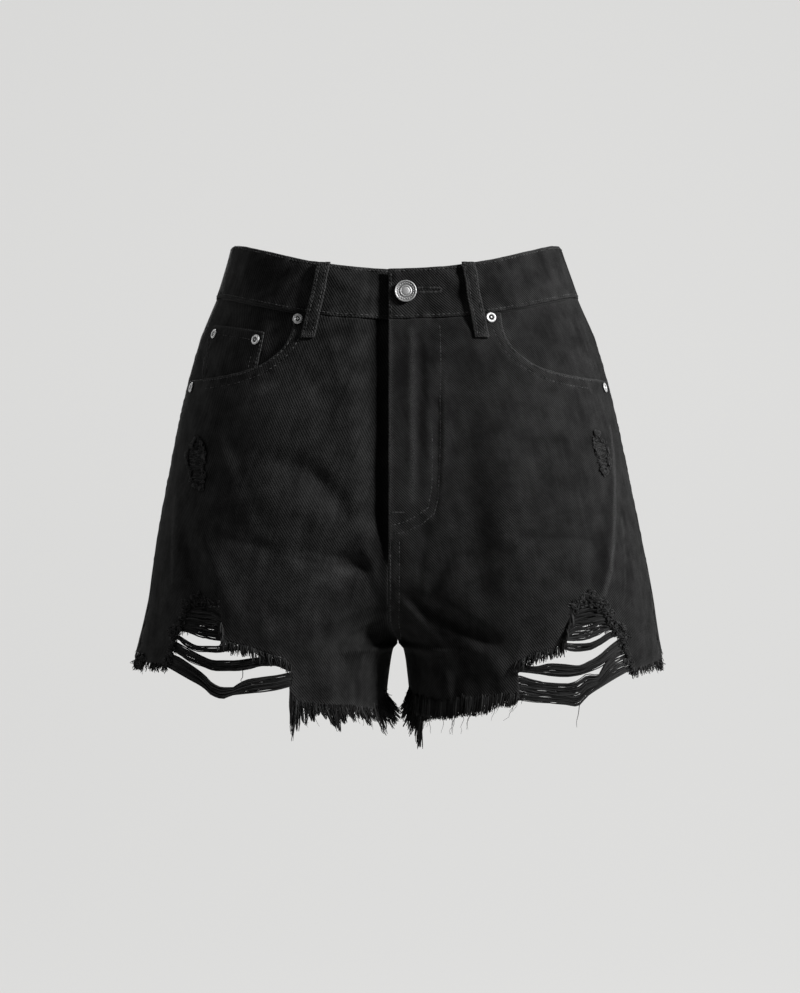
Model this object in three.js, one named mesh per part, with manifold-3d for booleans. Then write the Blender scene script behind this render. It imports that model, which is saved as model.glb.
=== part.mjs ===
// High-waisted cut-off denim shorts, five-pocket style, filled out as if worn and hollow inside.
// Millimetres. +Z is up, the front faces -Y and the wearer's left is +X. The origin is the centre of the
// waist, level with the top edge of the waistband at the sides.
// The cloth is one surface made of horizontal sections. Each panel is a wall on a stretch of it.

import * as THREE from "three";
import { mergeVertices } from "three/addons/utils/BufferGeometryUtils.js";
import Module from "manifold-3d";

const wasm = await Module();
wasm.setup();

const HALF_PI = Math.PI / 2;
const HEADING = { left: 1, right: -1 };
const table = (columns, ...rows) => rows.map((row) => Object.fromEntries(columns.map((c, i) => [c, row[i]])));

// Cloth and seams.
const CLOTH = 1.6; // one layer of denim
const BAND = 3.2; // the waistband's folded layers
const BAND_PROUD = 1.0; // how far the waistband stands out from the panels
const GAP = 0.3; // between neighbouring pieces
const SEAM_U = 0.0013; // half of that gap along a section

// Waistband and yoke.
const BAND_TOP = {
  front: table(["share", "z"], [0, -30.5], [0.22, -29], [0.45, -24.3], [0.75, -13.2], [0.93, -4.8], [1, -2]),
  back: table(["share", "z"], [0, -10], [0.5, -8], [1, -2]),
};
const BAND_HEIGHT = { front: 38.5, side: 41.5, back: 40 };
const YOKE_HEIGHT = { side: 27, back: 58 };

// Fly. The wearer's left front laps over the right one.
const LAP = 7.2; // the lap's edge lies this far past the centre
const UNDERLAP = 13; // the right front runs this far past the centre, under the lap
const FLY_END = -236;
const FLY_FADE = 20; // below the fly the two edges come together over this height
const TUCK = { panel: 6, band: BAND + 1.6, from: 8, to: 34 };
const LAP_FADE = 24; // above the crotch the lap's edge swings back to the centre over this height

// Crotch and hems.
const CROTCH = -323;
const SIDE_HEM = -334;
const INSEAM_HEM = -369;

// Hand pocket opening, a quarter of a superellipse seen from the front.
const OPENING = { x: 160, z: -60, width: 81, drop: 51.5, power: 2.6 };
const FACING_MARGIN = 12;
const FACING_DROP = { left: 2.1, right: 3.6 }; // the right one lies deeper, under its coin pocket

// One row for each height. side, sideY: the widest point. front, frontX: the most forward point, frontX as a
// share of side. centre, inner: the centre front line, and under the crotch the inseam. back, backX, seat: the
// same behind. valley, cleft: how steeply the section runs into the centre line, in degrees. seam: how far the
// side seam lies in front of the widest point, as a share of a quarter section. lean: how far both sides are
// shifted to the wearer's left.
const ROUND = 0.5523; // the handles of a round quarter, as a share of its reach
const SECTIONS = table(
  ["z", "side", "sideY", "front", "frontX", "centre", "inner", "back", "backX", "seat", "valley", "cleft", "seam", "lean"],
  [10, 130, 2, -96, 0.22, -96, 0.15, 94, 0.24, 94, 0, 0, 0.1, -1.8],
  [0, 133, 2, -96.5, 0.22, -96.5, 0.15, 96, 0.24, 96, 0, 0, 0.1, -1.5],
  [-40, 146.2, 3, -98.5, 0.24, -98, 0.15, 103, 0.28, 103, 0, 0, 0.1, -0.8],
  [-80, 162.6, 4, -103, 0.28, -102, 0.15, 113, 0.34, 112, 0, 0, 0.1, -0.2],
  [-130, 176.2, 5, -109, 0.34, -107, 0.15, 125, 0.42, 122, 4, 8, 0.1, 0],
  [-180, 186.7, 6, -113, 0.4, -110.5, 0.15, 131, 0.48, 126, 8, 16, 0.1, 0.2],
  [-230, 196.6, 6, -114, 0.45, -109, 0.15, 129, 0.51, 117, 16, 28, 0.13, 0.9],
  [-265, 202.8, 6, -112, 0.49, -102, 0.15, 122, 0.52, 100, 28, 42, 0.16, 1.8],
  [-287, 206.3, 6, -109.5, 0.51, -89, 0.15, 117, 0.52, 80, 42, 56, 0.18, 2.2],
  [-304, 209.4, 6, -107, 0.52, -67, 0.15, 112, 0.52, 55, 58, 68, 0.19, 1.8],
  [-315, 211.6, 6, -105, 0.52, -41, 0.15, 109, 0.52, 33, 72, 78, 0.2, 1.3],
  [-321, 212.8, 6, -104, 0.52, -17, 0.15, 107.5, 0.52, 15, 82, 85, 0.2, 1],
  [CROTCH, 213.2, 6, -103.5, 0.52, 1.85, 0.15, 107, 0.52, 2.15, 90, 90, 0.2, 1],
  [-326, 214, 6, -103, 0.52, 1.85, 3.4, 106, 0.52, 2.15, 90, 90, 0.2, 0.8],
  [-345, 217, 6, -100.5, 0.52, 2.85, 7, 101, 0.52, 3.15, 90, 90, 0.19, 0],
  [-372, 219, 6, -98, 0.52, 4.85, 9.2, 96, 0.52, 5.15, 90, 90, 0.19, 0],
  [-400, 221, 6, -96, 0.52, 5.85, 9.2, 92, 0.52, 6.15, 90, 90, 0.19, 0],
);

// Below the crotch the front turns more squarely into the inseam: the handles of that quarter.
const CORNER = table(["z", "handle"], [-296, ROUND], [CROTCH, 0.6], [-345, 0.7], [-372, 0.74]);

// Front hem, by distance from the centre. Between the two edges of the torn hem the line follows the lowest
// threads, which sag.
const FRONT_HEM = {
  left: table(
    ["x", "z"],
    [9, -369],
    [17, -377],
    [33, -372.2],
    [48, -369],
    [63, -363.5],
    [78, -357],
    [85, -355.5],
    [93, -358.5],
    [108, -359.8],
    [123, -361.4],
    [138, -363.4],
    [147, -356.6],
    [155, -352.8],
    [164, -349.2],
    [173, -345.7],
    [181, -339],
    [196, -337],
    [214, SIDE_HEM],
  ),
  right: table(
    ["x", "z"],
    [9, -369],
    [22, -369.6],
    [38, -366],
    [53, -363.8],
    [68, -362.5],
    [77, -360.6],
    [81.5, -353.4],
    [84, -348.8],
    [94, -351.5],
    [104, -352.9],
    [124, -354],
    [134, -358.7],
    [142, -357],
    [152, -351],
    [164, -343.3],
    [174, -336.8],
    [185, -334.4],
    [201, -334.8],
    [214, SIDE_HEM],
  ),
};

// The denim itself stops at these distances from the centre, and threads alone bridge between.
const TORN = { left: { from: 93, to: 180 }, right: { from: 81, to: 176 } };

// Back hem, by share of the way from the side seam to the inseam. It is cut high over the seat.
const BACK_HEM = table(
  ["share", "z"],
  [0, SIDE_HEM],
  [0.12, -326],
  [0.26, -318],
  [0.42, -315],
  [0.6, -317],
  [0.76, -332],
  [0.9, -354],
  [1, INSEAM_HEM],
);

// Gaps torn through the front, seen from the front. Each is a lens between two hanging threads: its ends,
// how far its upper and lower edges sag below the line between them, and how much the upper edge bends up on
// its inner half and down on its outer half.
const RIPS = {
  left: table(
    ["x0", "z0", "x1", "z1", "upper", "lower", "bend"],
    [129.5, -315, 164, -306.4, 0.4, 4.4, 0.3],
    [111, -329, 169, -312, 1.6, 11.6, 1],
    [105.5, -337.4, 145, -337.6, 2.1, 6.6, 0.8],
    [148.5, -338.6, 160, -329.5, 0.2, 5.8, 0],
  ),
  right: table(
    ["x0", "z0", "x1", "z1", "upper", "lower", "bend"],
    [136.5, -315.4, 167, -309.8, 0.5, 5.4, 0.8],
    [103, -325.8, 170, -315, 0.6, 6.6, 3.6],
    [88, -337.6, 158, -333, 0.2, 12.4, 3.4],
  ),
};

// Folds on the fronts, seen from the front: centre, direction from the horizontal, half length, half width
// and height, which is negative for a trough.
const FOLDS = {
  left: table(
    ["x", "z", "angle", "long", "wide", "high"],
    [40, -298, -27, 44, 7, -5],
    [22, -318, -66, 40, 9, 4.5],
    [60, -322, -30, 34, 12, 2.4],
    [62, -225, -84, 66, 10, -3.4],
    [84, -215, -84, 70, 16, 2.6],
    [163, -228, 86, 66, 8, 2.6],
    [150, -250, 84, 44, 9, -2.4],
    [182, -262, 92, 44, 7, 1.6],
    [135, -292, 100, 30, 14, -2],
    [12, -145, 90, 66, 6, 1.2],
    [78, -342, -70, 20, 8, 1.2],
  ),
  right: table(
    ["x", "z", "angle", "long", "wide", "high"],
    [100, -169, 3, 32, 9, -2.8],
    [64, -188, 38, 28, 9, -3.6],
    [92, -206, 18, 46, 13, 3],
    [78, -246, 9, 64, 7, -2],
    [56, -266, 22, 36, 12, 3.4],
    [158, -253, 71, 32, 8.5, -4.2],
    [174, -214, 84, 40, 8, 2.2],
    [138, -262, 66, 36, 9, 2.2],
    [26, -314, -28, 30, 8, -4.8],
    [34, -298, -32, 34, 10, 3.6],
    [188, -285, 88, 40, 7, -1.6],
    [112, -140, 16, 40, 14, 1.4],
    [52, -344, 84, 26, 8, 1.8],
  ),
};

// Folds behind, under the seat and beside the crotch.
const SEAT_FOLDS = table(
  ["x", "z", "angle", "long", "wide", "high"],
  [40, -286, 32, 44, 11, 2.8],
  [52, -266, 26, 46, 12, -2.4],
  [120, -292, 12, 50, 12, 2],
  [150, -250, 60, 44, 14, -1.6],
);

// A column of a table at a position, as a smooth line that never overshoots its rows.
function along(rows, key, column, at) {
  const rising = rows[rows.length - 1][key] > rows[0][key];
  const before = (row) => (rising ? row[key] <= at : row[key] >= at);
  let i = 0;
  while (i < rows.length - 2 && before(rows[i + 1])) i += 1;
  const slope = (a, b) => (rows[b][column] - rows[a][column]) / (rows[b][key] - rows[a][key]);
  const tangent = (k) => {
    if (k === 0) return slope(0, 1);
    if (k === rows.length - 1) return slope(k - 1, k);
    const [a, b] = [slope(k - 1, k), slope(k, k + 1)];
    return a * b <= 0 ? 0 : (2 * a * b) / (a + b);
  };
  const span = rows[i + 1][key] - rows[i][key];
  const t = THREE.MathUtils.clamp((at - rows[i][key]) / span, 0, 1);
  const [t2, t3] = [t * t, t * t * t];
  return (
    (2 * t3 - 3 * t2 + 1) * rows[i][column] +
    (t3 - 2 * t2 + t) * span * tangent(i) +
    (3 * t2 - 2 * t3) * rows[i + 1][column] +
    (t3 - t2) * span * tangent(i + 1)
  );
}

const sectionAt = (z) => Object.fromEntries(Object.keys(SECTIONS[0]).map((c) => [c, along(SECTIONS, "z", c, z)]));

// How far the centre front edge lies on its own side of the centre: negative past it.
function frontEdge(half, z, inner) {
  const fade = THREE.MathUtils.smoothstep(z, CROTCH, CROTCH + LAP_FADE);
  const lap = -LAP * fade + inner * (1 - fade);
  if (half > 0) return lap;
  const meeting = (LAP + GAP) * fade + inner * (1 - fade);
  const under = THREE.MathUtils.smoothstep(z, FLY_END - FLY_FADE, FLY_END);
  return meeting * (1 - under) - UNDERLAP * under;
}

// How far the right front sinks to pass under the lap.
function tuck(half, x, z, depth) {
  if (half > 0) return 0;
  const near = 1 - THREE.MathUtils.smoothstep(x, TUCK.from, TUCK.to);
  const height = THREE.MathUtils.smoothstep(z, FLY_END - 3 * FLY_FADE, FLY_END - FLY_FADE);
  return depth * near * height;
}

function foldHeight(folds, x, z) {
  let sum = 0;
  for (const f of folds) {
    const a = THREE.MathUtils.degToRad(f.angle);
    const [dx, dz] = [x - f.x, z - f.z];
    const down = (dx * Math.cos(a) + dz * Math.sin(a)) / f.long;
    const across = (-dx * Math.sin(a) + dz * Math.cos(a)) / f.wide;
    sum += f.high * Math.exp(-across * across - down ** 4);
  }
  return sum;
}

// The quarter u of a section runs from one corner to the next as a cubic Bezier.
function quarter(t, from, leave, arrive, to) {
  const s = 1 - t;
  return from.map(
    (p, i) =>
      s ** 3 * p + 3 * s * s * t * (p + leave[i]) + 3 * s * t * t * (to[i] - arrive[i]) + t ** 3 * to[i],
  );
}

// The bare section: u is 0 at the centre front or inseam, 1 at the front, 2 at the side, 3 at the back and 4 at
// the centre back or inseam. Gives x on its own side, and y.
function ring(half, u, z) {
  const s = sectionAt(z);
  const side = s.side + half * s.lean;
  const A = [frontEdge(half, z, s.inner), s.centre];
  const B = [side * s.frontX, s.front];
  const C = [side, s.sideY];
  const D = [side * s.backX, s.back];
  const E = [s.inner, s.seat];
  const [valley, cleft] = [s.valley, s.cleft].map(THREE.MathUtils.degToRad);
  const k = ROUND;
  if (u <= 1) {
    const h = along(CORNER, "z", "handle", z);
    return quarter(
      u,
      A,
      [h * (B[0] - A[0]) * Math.cos(valley), h * (B[1] - A[1]) * Math.sin(valley)],
      [h * (B[0] - A[0]), 0],
      B,
    );
  }
  if (u <= 2) return quarter(u - 1, B, [k * (C[0] - B[0]), 0], [0, k * (C[1] - B[1])], C);
  if (u <= 3) return quarter(u - 2, C, [0, k * (D[1] - C[1])], [k * (D[0] - C[0]), 0], D);
  return quarter(
    u - 3,
    D,
    [k * (E[0] - D[0]), 0],
    [k * (E[0] - D[0]) * Math.cos(cleft), k * (E[1] - D[1]) * Math.sin(cleft)],
    E,
  );
}

// A point of the cloth's outer face, with its folds. They fade out towards the sides.
const FOLDS_END = { front: [1.6, 1.85], back: [2.2, 2.5] };
function clothPoint(half, u, z, depth) {
  const [x, y] = ring(half, u, z);
  const front = 1 - THREE.MathUtils.smoothstep(u, ...FOLDS_END.front);
  const behind = THREE.MathUtils.smoothstep(u, ...FOLDS_END.back);
  const side = half > 0 ? "left" : "right";
  const seat = behind && behind * foldHeight(SEAT_FOLDS, x, z);
  const fore = front && front * foldHeight(FOLDS[side], x, z);
  const sunk = u < 1.5 ? tuck(half, x, z, depth) : 0;
  return new THREE.Vector3(half * x, y - fore + sunk + seat, z);
}

// The same with its outward normal.
function cloth(half, u, z, depth = TUCK.panel) {
  const [du, dz] = [0.01, 0.5];
  const [u0, u1] = [Math.max(0, u - du), Math.min(4, u + du)];
  const across = clothPoint(half, u1, z, depth).sub(clothPoint(half, u0, z, depth));
  const up = clothPoint(half, u, z + dz, depth).sub(clothPoint(half, u, z - dz, depth));
  const normal = across.cross(up).multiplyScalar(half).normalize();
  return { point: clothPoint(half, u, z, depth), normal };
}

// The u where a front section reaches x on its own side.
function frontU(half, x, z) {
  let [low, high] = [0, 2];
  for (let i = 0; i < 24; i += 1) {
    const middle = (low + high) / 2;
    if (ring(half, middle, z)[0] < x) low = middle;
    else high = middle;
  }
  return (low + high) / 2;
}

const seamU = (z) => 2 - along(SECTIONS, "z", "seam", z);

// Edges of the pieces, by u.
const WAIST = -10; // a height within the band
const shareOut = (u) => THREE.MathUtils.clamp(ring(1, u, WAIST)[0] / ring(1, 2, WAIST)[0], 0, 1);
const bandTop = (u) => along(BAND_TOP[u < 2 ? "front" : "back"], "share", "z", shareOut(u));
function bandBottom(u) {
  const end = u < 2 ? BAND_HEIGHT.front : BAND_HEIGHT.back;
  return bandTop(u) - end - (BAND_HEIGHT.side - end) * shareOut(u) ** 2;
}
const yokeBottom = (u) => bandBottom(u) - YOKE_HEIGHT.back + (YOKE_HEIGHT.back - YOKE_HEIGHT.side) * shareOut(u);
const frontHem = (side, u) => along(FRONT_HEM[side], "x", "z", Math.max(9, ring(HEADING[side], u, -350)[0]));
const backShare = (u) => (u - seamU(SIDE_HEM)) / (4 - seamU(SIDE_HEM));
const backHem = (u) => along(BACK_HEM, "share", "z", backShare(u));

// A closed wall between two grids of points, as a solid.
function solidFrom(positions, indices) {
  const geometry = new THREE.BufferGeometry();
  geometry.setAttribute("position", new THREE.Float32BufferAttribute(positions, 3));
  geometry.setIndex(indices);
  return solidOf(geometry);
}

function solidOf(geometry) {
  const bare = geometry.clone();
  bare.deleteAttribute("normal");
  bare.deleteAttribute("uv");
  const merged = mergeVertices(bare, 1e-4);
  const made = new wasm.Manifold(
    new wasm.Mesh({
      numProp: 3,
      vertProperties: new Float32Array(merged.attributes.position.array),
      triVerts: new Uint32Array(merged.index.array),
    }),
  );
  if (made.volume() < 0) throw new Error("a piece is inside out");
  return made;
}

function geometryOf(solid) {
  const mesh = solid.getMesh();
  const positions = new Float32Array(mesh.numVert * 3);
  for (let i = 0; i < mesh.numVert; i += 1)
    positions.set(mesh.vertProperties.subarray(i * mesh.numProp, i * mesh.numProp + 3), i * 3);
  const geometry = new THREE.BufferGeometry();
  geometry.setAttribute("position", new THREE.BufferAttribute(positions, 3));
  geometry.setIndex(new THREE.BufferAttribute(mesh.triVerts, 1));
  geometry.computeVertexNormals();
  return geometry;
}

// A wall on the cloth. at(s, t) gives a point and its outward normal for s across and t down. lift(s, t) is how
// far the wall's outer face stands out from that point.
function wall({ at, across, down, thick, lift = () => 0, mirrored = false }) {
  const layers = [0, thick].map((depth) =>
    down.map((t) =>
      across.map((s) => {
        const { point, normal } = at(s, t);
        return point.clone().addScaledVector(normal, lift(s, t) - depth);
      }),
    ),
  );
  const positions = layers.flat(2).flatMap((p) => p.toArray());
  const [rows, columns] = [down.length, across.length];
  const id = (layer, i, j) => (layer * rows + i) * columns + j;
  const faces = [];
  const quad = (a, b, c, d) => faces.push(a, b, c, a, c, d);
  for (let i = 0; i < rows - 1; i += 1)
    for (let j = 0; j < columns - 1; j += 1) {
      quad(id(0, i, j), id(0, i + 1, j), id(0, i + 1, j + 1), id(0, i, j + 1));
      quad(id(1, i, j), id(1, i, j + 1), id(1, i + 1, j + 1), id(1, i + 1, j));
    }
  for (let i = 0; i < rows - 1; i += 1) {
    quad(id(0, i, 0), id(1, i, 0), id(1, i + 1, 0), id(0, i + 1, 0));
    quad(id(0, i, columns - 1), id(0, i + 1, columns - 1), id(1, i + 1, columns - 1), id(1, i, columns - 1));
  }
  for (let j = 0; j < columns - 1; j += 1) {
    quad(id(0, 0, j), id(0, 0, j + 1), id(1, 0, j + 1), id(1, 0, j));
    quad(id(0, rows - 1, j), id(1, rows - 1, j), id(1, rows - 1, j + 1), id(0, rows - 1, j + 1));
  }
  if (mirrored) faces.reverse();
  return solidFrom(positions, faces);
}

const steps = (n, from = 0, to = 1) => Array.from({ length: n + 1 }, (_, i) => from + ((to - from) * i) / n);

// A prism along Y through whatever lies behind an outline seen from the front, given as [x, z] pairs.
function prism(half, outline, fromY, toY) {
  const shape = new THREE.Shape(outline.map(([x, z]) => new THREE.Vector2(half * x, z)));
  const geometry = new THREE.ExtrudeGeometry(shape, { depth: toY - fromY, bevelEnabled: false, steps: 1 });
  geometry.rotateX(HALF_PI);
  geometry.translate(0, toY, 0);
  return solidOf(geometry);
}

function openingOutline(margin) {
  const curve = steps(10).map((t) => {
    const [c, s] = [Math.cos(t * HALF_PI), Math.sin(t * HALF_PI)].map((v) => Math.max(v, 0) ** (2 / OPENING.power));
    return [OPENING.x - (OPENING.width + margin) * c, OPENING.z - (OPENING.drop + margin) * s];
  });
  const [top, out] = [0, 240];
  return [[curve[0][0], top], ...curve, [out, OPENING.z - OPENING.drop - margin], [out, top]];
}

function lensOutline({ x0, z0, x1, z1, upper, lower, bend }) {
  const edge = (sag, swing, shares) =>
    shares.map((t) => [
      x0 + (x1 - x0) * t,
      z0 + (z1 - z0) * t - 4 * sag * t * (1 - t) + swing * Math.sin(2 * Math.PI * t),
    ]);
  return [...edge(upper, bend, steps(8)), ...edge(lower, 0, steps(7, 1, 0).slice(1, -1))];
}

const REACH = 260;

// Heights of a front panel's rows at the centre, close together where the crotch seam turns under.
const FRONT_ROWS = [
  -69, -86, -107, -130, -155, -180, -203, -222, -238, -252, -265, -277, -288, -298, -307, -314, -319, CROTCH, -327, -339,
  -353, INSEAM_HEM,
];
const BACK_ROWS = [-106, -130, -156, -182, -206, -228, -248, -264, -278, -291, -303, -312, -318.5, CROTCH, -327, -345, INSEAM_HEM];

const sharesOf = (rows) => rows.map((z) => (z - rows[0]) / (rows[rows.length - 1] - rows[0]));

const FRONT_COLUMNS = [0, 0.03, 0.075, 0.13, 0.19, ...steps(17, 0.25, 1)];
const frontAt = (side) => (s, t) => {
  const uAt = (z) => s * (seamU(z) - SEAM_U);
  const top = bandBottom(Math.max(uAt(FRONT_ROWS[0]), 0.02)) - GAP;
  const z = top + (frontHem(side, uAt(SIDE_HEM)) - top) * t;
  return cloth(HEADING[side], uAt(z), z);
};
function frontPanel(side) {
  const half = HEADING[side];
  const at = frontAt(side);
  let panel = wall({ at, across: FRONT_COLUMNS, down: sharesOf(FRONT_ROWS), thick: CLOTH, mirrored: half < 0 });
  panel = panel.subtract(prism(half, openingOutline(0), -REACH, REACH));
  for (const rip of RIPS[side]) panel = panel.subtract(prism(half, lensOutline(rip), -REACH, 0));
  return panel;
}

const BACK_COLUMNS = [...steps(12, 0, 0.78), 0.85, 0.91, 0.96, 1];
const backAt = (side) => (s, t) => {
  const uAt = (z) => seamU(z) + SEAM_U + s * (4 - seamU(z) - SEAM_U);
  const top = yokeBottom(uAt(BACK_ROWS[0])) - GAP;
  const z = top + (backHem(uAt(SIDE_HEM)) - top) * t;
  return cloth(HEADING[side], uAt(z), z);
};
function backPanel(side) {
  const at = backAt(side);
  return wall({ at, across: BACK_COLUMNS, down: sharesOf(BACK_ROWS), thick: CLOTH, mirrored: side === "right" });
}

const BAND_COLUMNS = [0, 0.12, 0.24, 0.36, ...steps(20, 0.48, 4)];

// The yoke has the band's columns, so that the two edges match.
function yoke(side) {
  const half = HEADING[side];
  const start = seamU(-80) + SEAM_U;
  const at = (u, t) => {
    const [top, bottom] = [bandBottom(u) - GAP, yokeBottom(u)];
    return cloth(half, u, top + (bottom - top) * t);
  };
  const across = [start, ...BAND_COLUMNS.filter((u) => u > start)];
  return wall({ at, across, down: steps(4), thick: CLOTH, mirrored: half < 0 });
}

// The band runs from the lap at the left front, round the back, to the underlap at the right front.
function waistband() {
  const at = (s, t) => {
    const [half, u] = s < 4 ? [1, s] : [-1, 8 - s];
    return cloth(half, u, bandTop(u) + (bandBottom(u) - bandTop(u)) * t, TUCK.band);
  };
  const across = [...BAND_COLUMNS, ...BAND_COLUMNS.slice(0, -1).reverse().map((u) => 8 - u)];
  return wall({ at, across, down: [0, 0.5, 1], thick: BAND, lift: () => BAND_PROUD });
}

// A patch on or under a panel, made from the panel's own points moved out or in.
function patch({ at, across, rows, thick, lift, half, outline, fromY, toY }) {
  const whole = wall({ at, across, down: rows, thick, lift: () => lift, mirrored: half < 0 });
  return whole.intersect(prism(half, outline, fromY, toY));
}

// The denim seen inside the hand pocket's opening.
function pocketFacing(side) {
  const half = HEADING[side];
  return patch({
    at: frontAt(side),
    across: FRONT_COLUMNS.filter((s) => s > 0.3),
    rows: sharesOf(FRONT_ROWS).slice(0, 6),
    thick: CLOTH - 0.2,
    lift: -FACING_DROP[side],
    half,
    outline: openingOutline(FACING_MARGIN),
    fromY: -REACH,
    toY: REACH,
  });
}

// The small pocket on the right facing. Its foot runs down under the front panel.
const COIN = table(["x", "z"], [103.5, -77.5], [148, -67], [156, -80], [157.5, -119], [112, -119]);
const coinPocket = () =>
  patch({
    at: frontAt("right"),
    across: FRONT_COLUMNS.filter((s) => s > 0.4),
    rows: sharesOf(FRONT_ROWS).slice(0, 6),
    thick: CLOTH - 0.3,
    lift: -CLOTH - GAP,
    half: HEADING.right,
    outline: COIN.map((c) => [c.x, c.z]),
    fromY: -REACH,
    toY: 0,
  });

// Belt loops stand a little clear of the band, and are tacked above and below it.
const LOOP = { wide: 10, thick: 1.8, slack: 2.2, above: 0.6, below: 18.5, level: -40, front: 56, back: 2.62 };
const LOOP_LIFT = table(["share", "lift"], [0, 0.1], [0.12, 0.85], [0.35, 1], [0.62, 0.75], [0.74, 0.35], [1, 0]);
// The front loops stand more upright than the cloth's own lines: how far out the top and bottom ends move.
const LOOP_SHIFT = { left: [0, -4.8], right: [2.7, 0], none: [0, 0] };
const LOOP_LANDING = [0.74, 0.95];
function loopLift(t) {
  const onBand = BAND_PROUD + GAP + LOOP.slack * along(LOOP_LIFT, "share", "lift", t);
  const landing = THREE.MathUtils.smoothstep(t, ...LOOP_LANDING);
  return onBand * (1 - landing) + GAP * landing + LOOP.thick;
}
const LOOP_ROWS = [0, 0.1, 0.25, 0.45, 0.62, 0.72, 0.8, 0.9, 1];
const loopEnds = (u) => [bandTop(u) + LOOP.above, bandBottom(u) - LOOP.below];
function beltLoop(half, u, shift = LOOP_SHIFT.none) {
  const nearby = 0.01;
  const [x0, y0] = ring(half, u - nearby, LOOP.level);
  const [x1, y1] = ring(half, u + nearby, LOOP.level);
  const wideU = (LOOP.wide * 2 * nearby) / Math.hypot(x1 - x0, y1 - y0);
  const [top, bottom] = loopEnds(u);
  const shiftU = (t) => (THREE.MathUtils.lerp(...shift, t) / LOOP.wide) * wideU;
  const at = (s, t) => cloth(half, u + (s - 0.5) * wideU + shiftU(t), top + (bottom - top) * t);
  return wall({
    at,
    across: steps(2),
    down: LOOP_ROWS,
    thick: LOOP.thick,
    lift: (s, t) => loopLift(t),
    mirrored: half < 0,
  });
}
function centreBackLoop() {
  const [top, bottom] = loopEnds(4);
  const at = (s, t) => {
    const z = top + (bottom - top) * t;
    const { point, normal } = cloth(1, 4, z);
    return {
      point: new THREE.Vector3((0.5 - s) * LOOP.wide, point.y, z),
      normal: new THREE.Vector3(0, normal.y, normal.z).normalize(),
    };
  };
  return wall({ at, across: steps(2), down: LOOP_ROWS, thick: LOOP.thick, lift: (s, t) => loopLift(t) });
}

// Patch pockets behind, seen from behind by distance from the centre.
const BACK_POCKET = table(["x", "z"], [31, -133], [141, -124], [136, -226], [88, -251], [37, -236]);
const backPocket = (side) =>
  patch({
    at: backAt(side),
    across: BACK_COLUMNS.filter((s) => s > 0.1),
    rows: sharesOf(BACK_ROWS).slice(0, 9),
    thick: CLOTH,
    lift: CLOTH + GAP,
    half: HEADING[side],
    outline: BACK_POCKET.map((c) => [c.x, c.z]),
    fromY: 0,
    toY: REACH,
  });

// Frayed hems: locks of loose threads on a narrow strip just under the denim's edge.
const STRIP = { high: 1.8, thick: 1.2, inset: 0.2 };
// A lock's width at its root and tip, how far it reaches into the strip, and its spread: flare outwards, lean
// sideways, and gather, by which long locks lean to the inseam.
const LOCK = { root: 1.7, tip: 0.5, bite: 1.2, flare: 0.22, lean: 1.2, gather: 0.55, long: 12 };
const scatter = (n) => {
  const wild = Math.sin(n * 127.1 + 11.7) * 43758.5453;
  return wild - Math.floor(wild);
};

// A lock is a three-sided taper from root to tip, bent once.
function lock(root, out, sideways, length, lean, seed) {
  const down = new THREE.Vector3(0, 0, -1);
  const knee = root.clone().addScaledVector(down, length / 2).addScaledVector(sideways, lean / 3);
  const tip = root
    .clone()
    .addScaledVector(down, length)
    .addScaledVector(sideways, lean)
    .addScaledVector(out, (scatter(seed + 5) - 0.4) * length * LOCK.flare);
  const top = root.clone().addScaledVector(down, -LOCK.bite);
  const points = [top, knee, tip];
  const widths = [LOCK.root, LOCK.root * 0.8, LOCK.tip];
  const positions = points.flatMap((p, k) =>
    [0, 1, 2].flatMap((corner) => {
      const turn = (corner * 2 * Math.PI) / 3;
      return p
        .clone()
        .addScaledVector(sideways, (Math.cos(turn) * widths[k]) / 2)
        .addScaledVector(out, (Math.sin(turn) * Math.min(widths[k], STRIP.thick * 0.8)) / 2)
        .toArray();
    }),
  );
  const faces = [];
  for (const k of [0, 1])
    for (const corner of [0, 1, 2]) {
      const next = (corner + 1) % 3;
      const [a, b, c, d] = [k * 3 + corner, k * 3 + next, k * 3 + 3 + next, k * 3 + 3 + corner];
      faces.push(a, b, c, a, c, d);
    }
  faces.push(0, 2, 1, 6, 7, 8);
  const straight = new THREE.Vector3().crossVectors(sideways, out).dot(down) > 0;
  return solidFrom(positions, straight ? faces : faces.reverse());
}

// The strip and its locks hang under a panel's hem, from one share of the panel's width to another. columns
// are the panel's own, so that the two edges match.
function fringe({ half, at, columns, from, to, locks, reach, seed }) {
  const edge = (s) => {
    const i = Math.max(1, columns.findIndex((c) => c >= s));
    const [a, b] = [columns[i - 1], columns[i]];
    const [first, last] = [at(a, 1), at(b, 1)];
    const t = (s - a) / (b - a);
    return { point: first.point.lerp(last.point, t), normal: first.normal.lerp(last.normal, t).normalize() };
  };
  const strip = wall({
    at: (s, t) => {
      const { point, normal } = edge(s);
      return { point: point.add(new THREE.Vector3(0, 0, -GAP - STRIP.high * t)), normal };
    },
    across: [from, ...columns.filter((c) => c > from && c < to), to],
    down: [0, 1],
    thick: STRIP.thick,
    lift: () => -STRIP.inset,
    mirrored: half < 0,
  });
  const pieces = [strip];
  for (let i = 0; i < locks; i += 1) {
    const share = (i + 0.5) / locks;
    const s = from + (to - from) * share;
    const { point, normal } = edge(s);
    const sideways = edge(s + 0.002).point.sub(edge(s - 0.002).point).setZ(0).normalize();
    const out = new THREE.Vector3(normal.x, normal.y, 0).normalize();
    const root = point
      .addScaledVector(normal, -STRIP.inset - STRIP.thick / 2)
      .add(new THREE.Vector3(0, 0, -GAP - STRIP.high + STRIP.inset));
    const length = reach(share) * (0.75 + 0.45 * scatter(seed * 3 + i));
    const lean = (scatter(seed + i) - 0.5) * LOCK.lean - Math.max(0, length - LOCK.long) * LOCK.gather;
    pieces.push(lock(root, out, sideways, length, lean, seed + i));
  }
  return wasm.Manifold.union(pieces);
}

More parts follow.
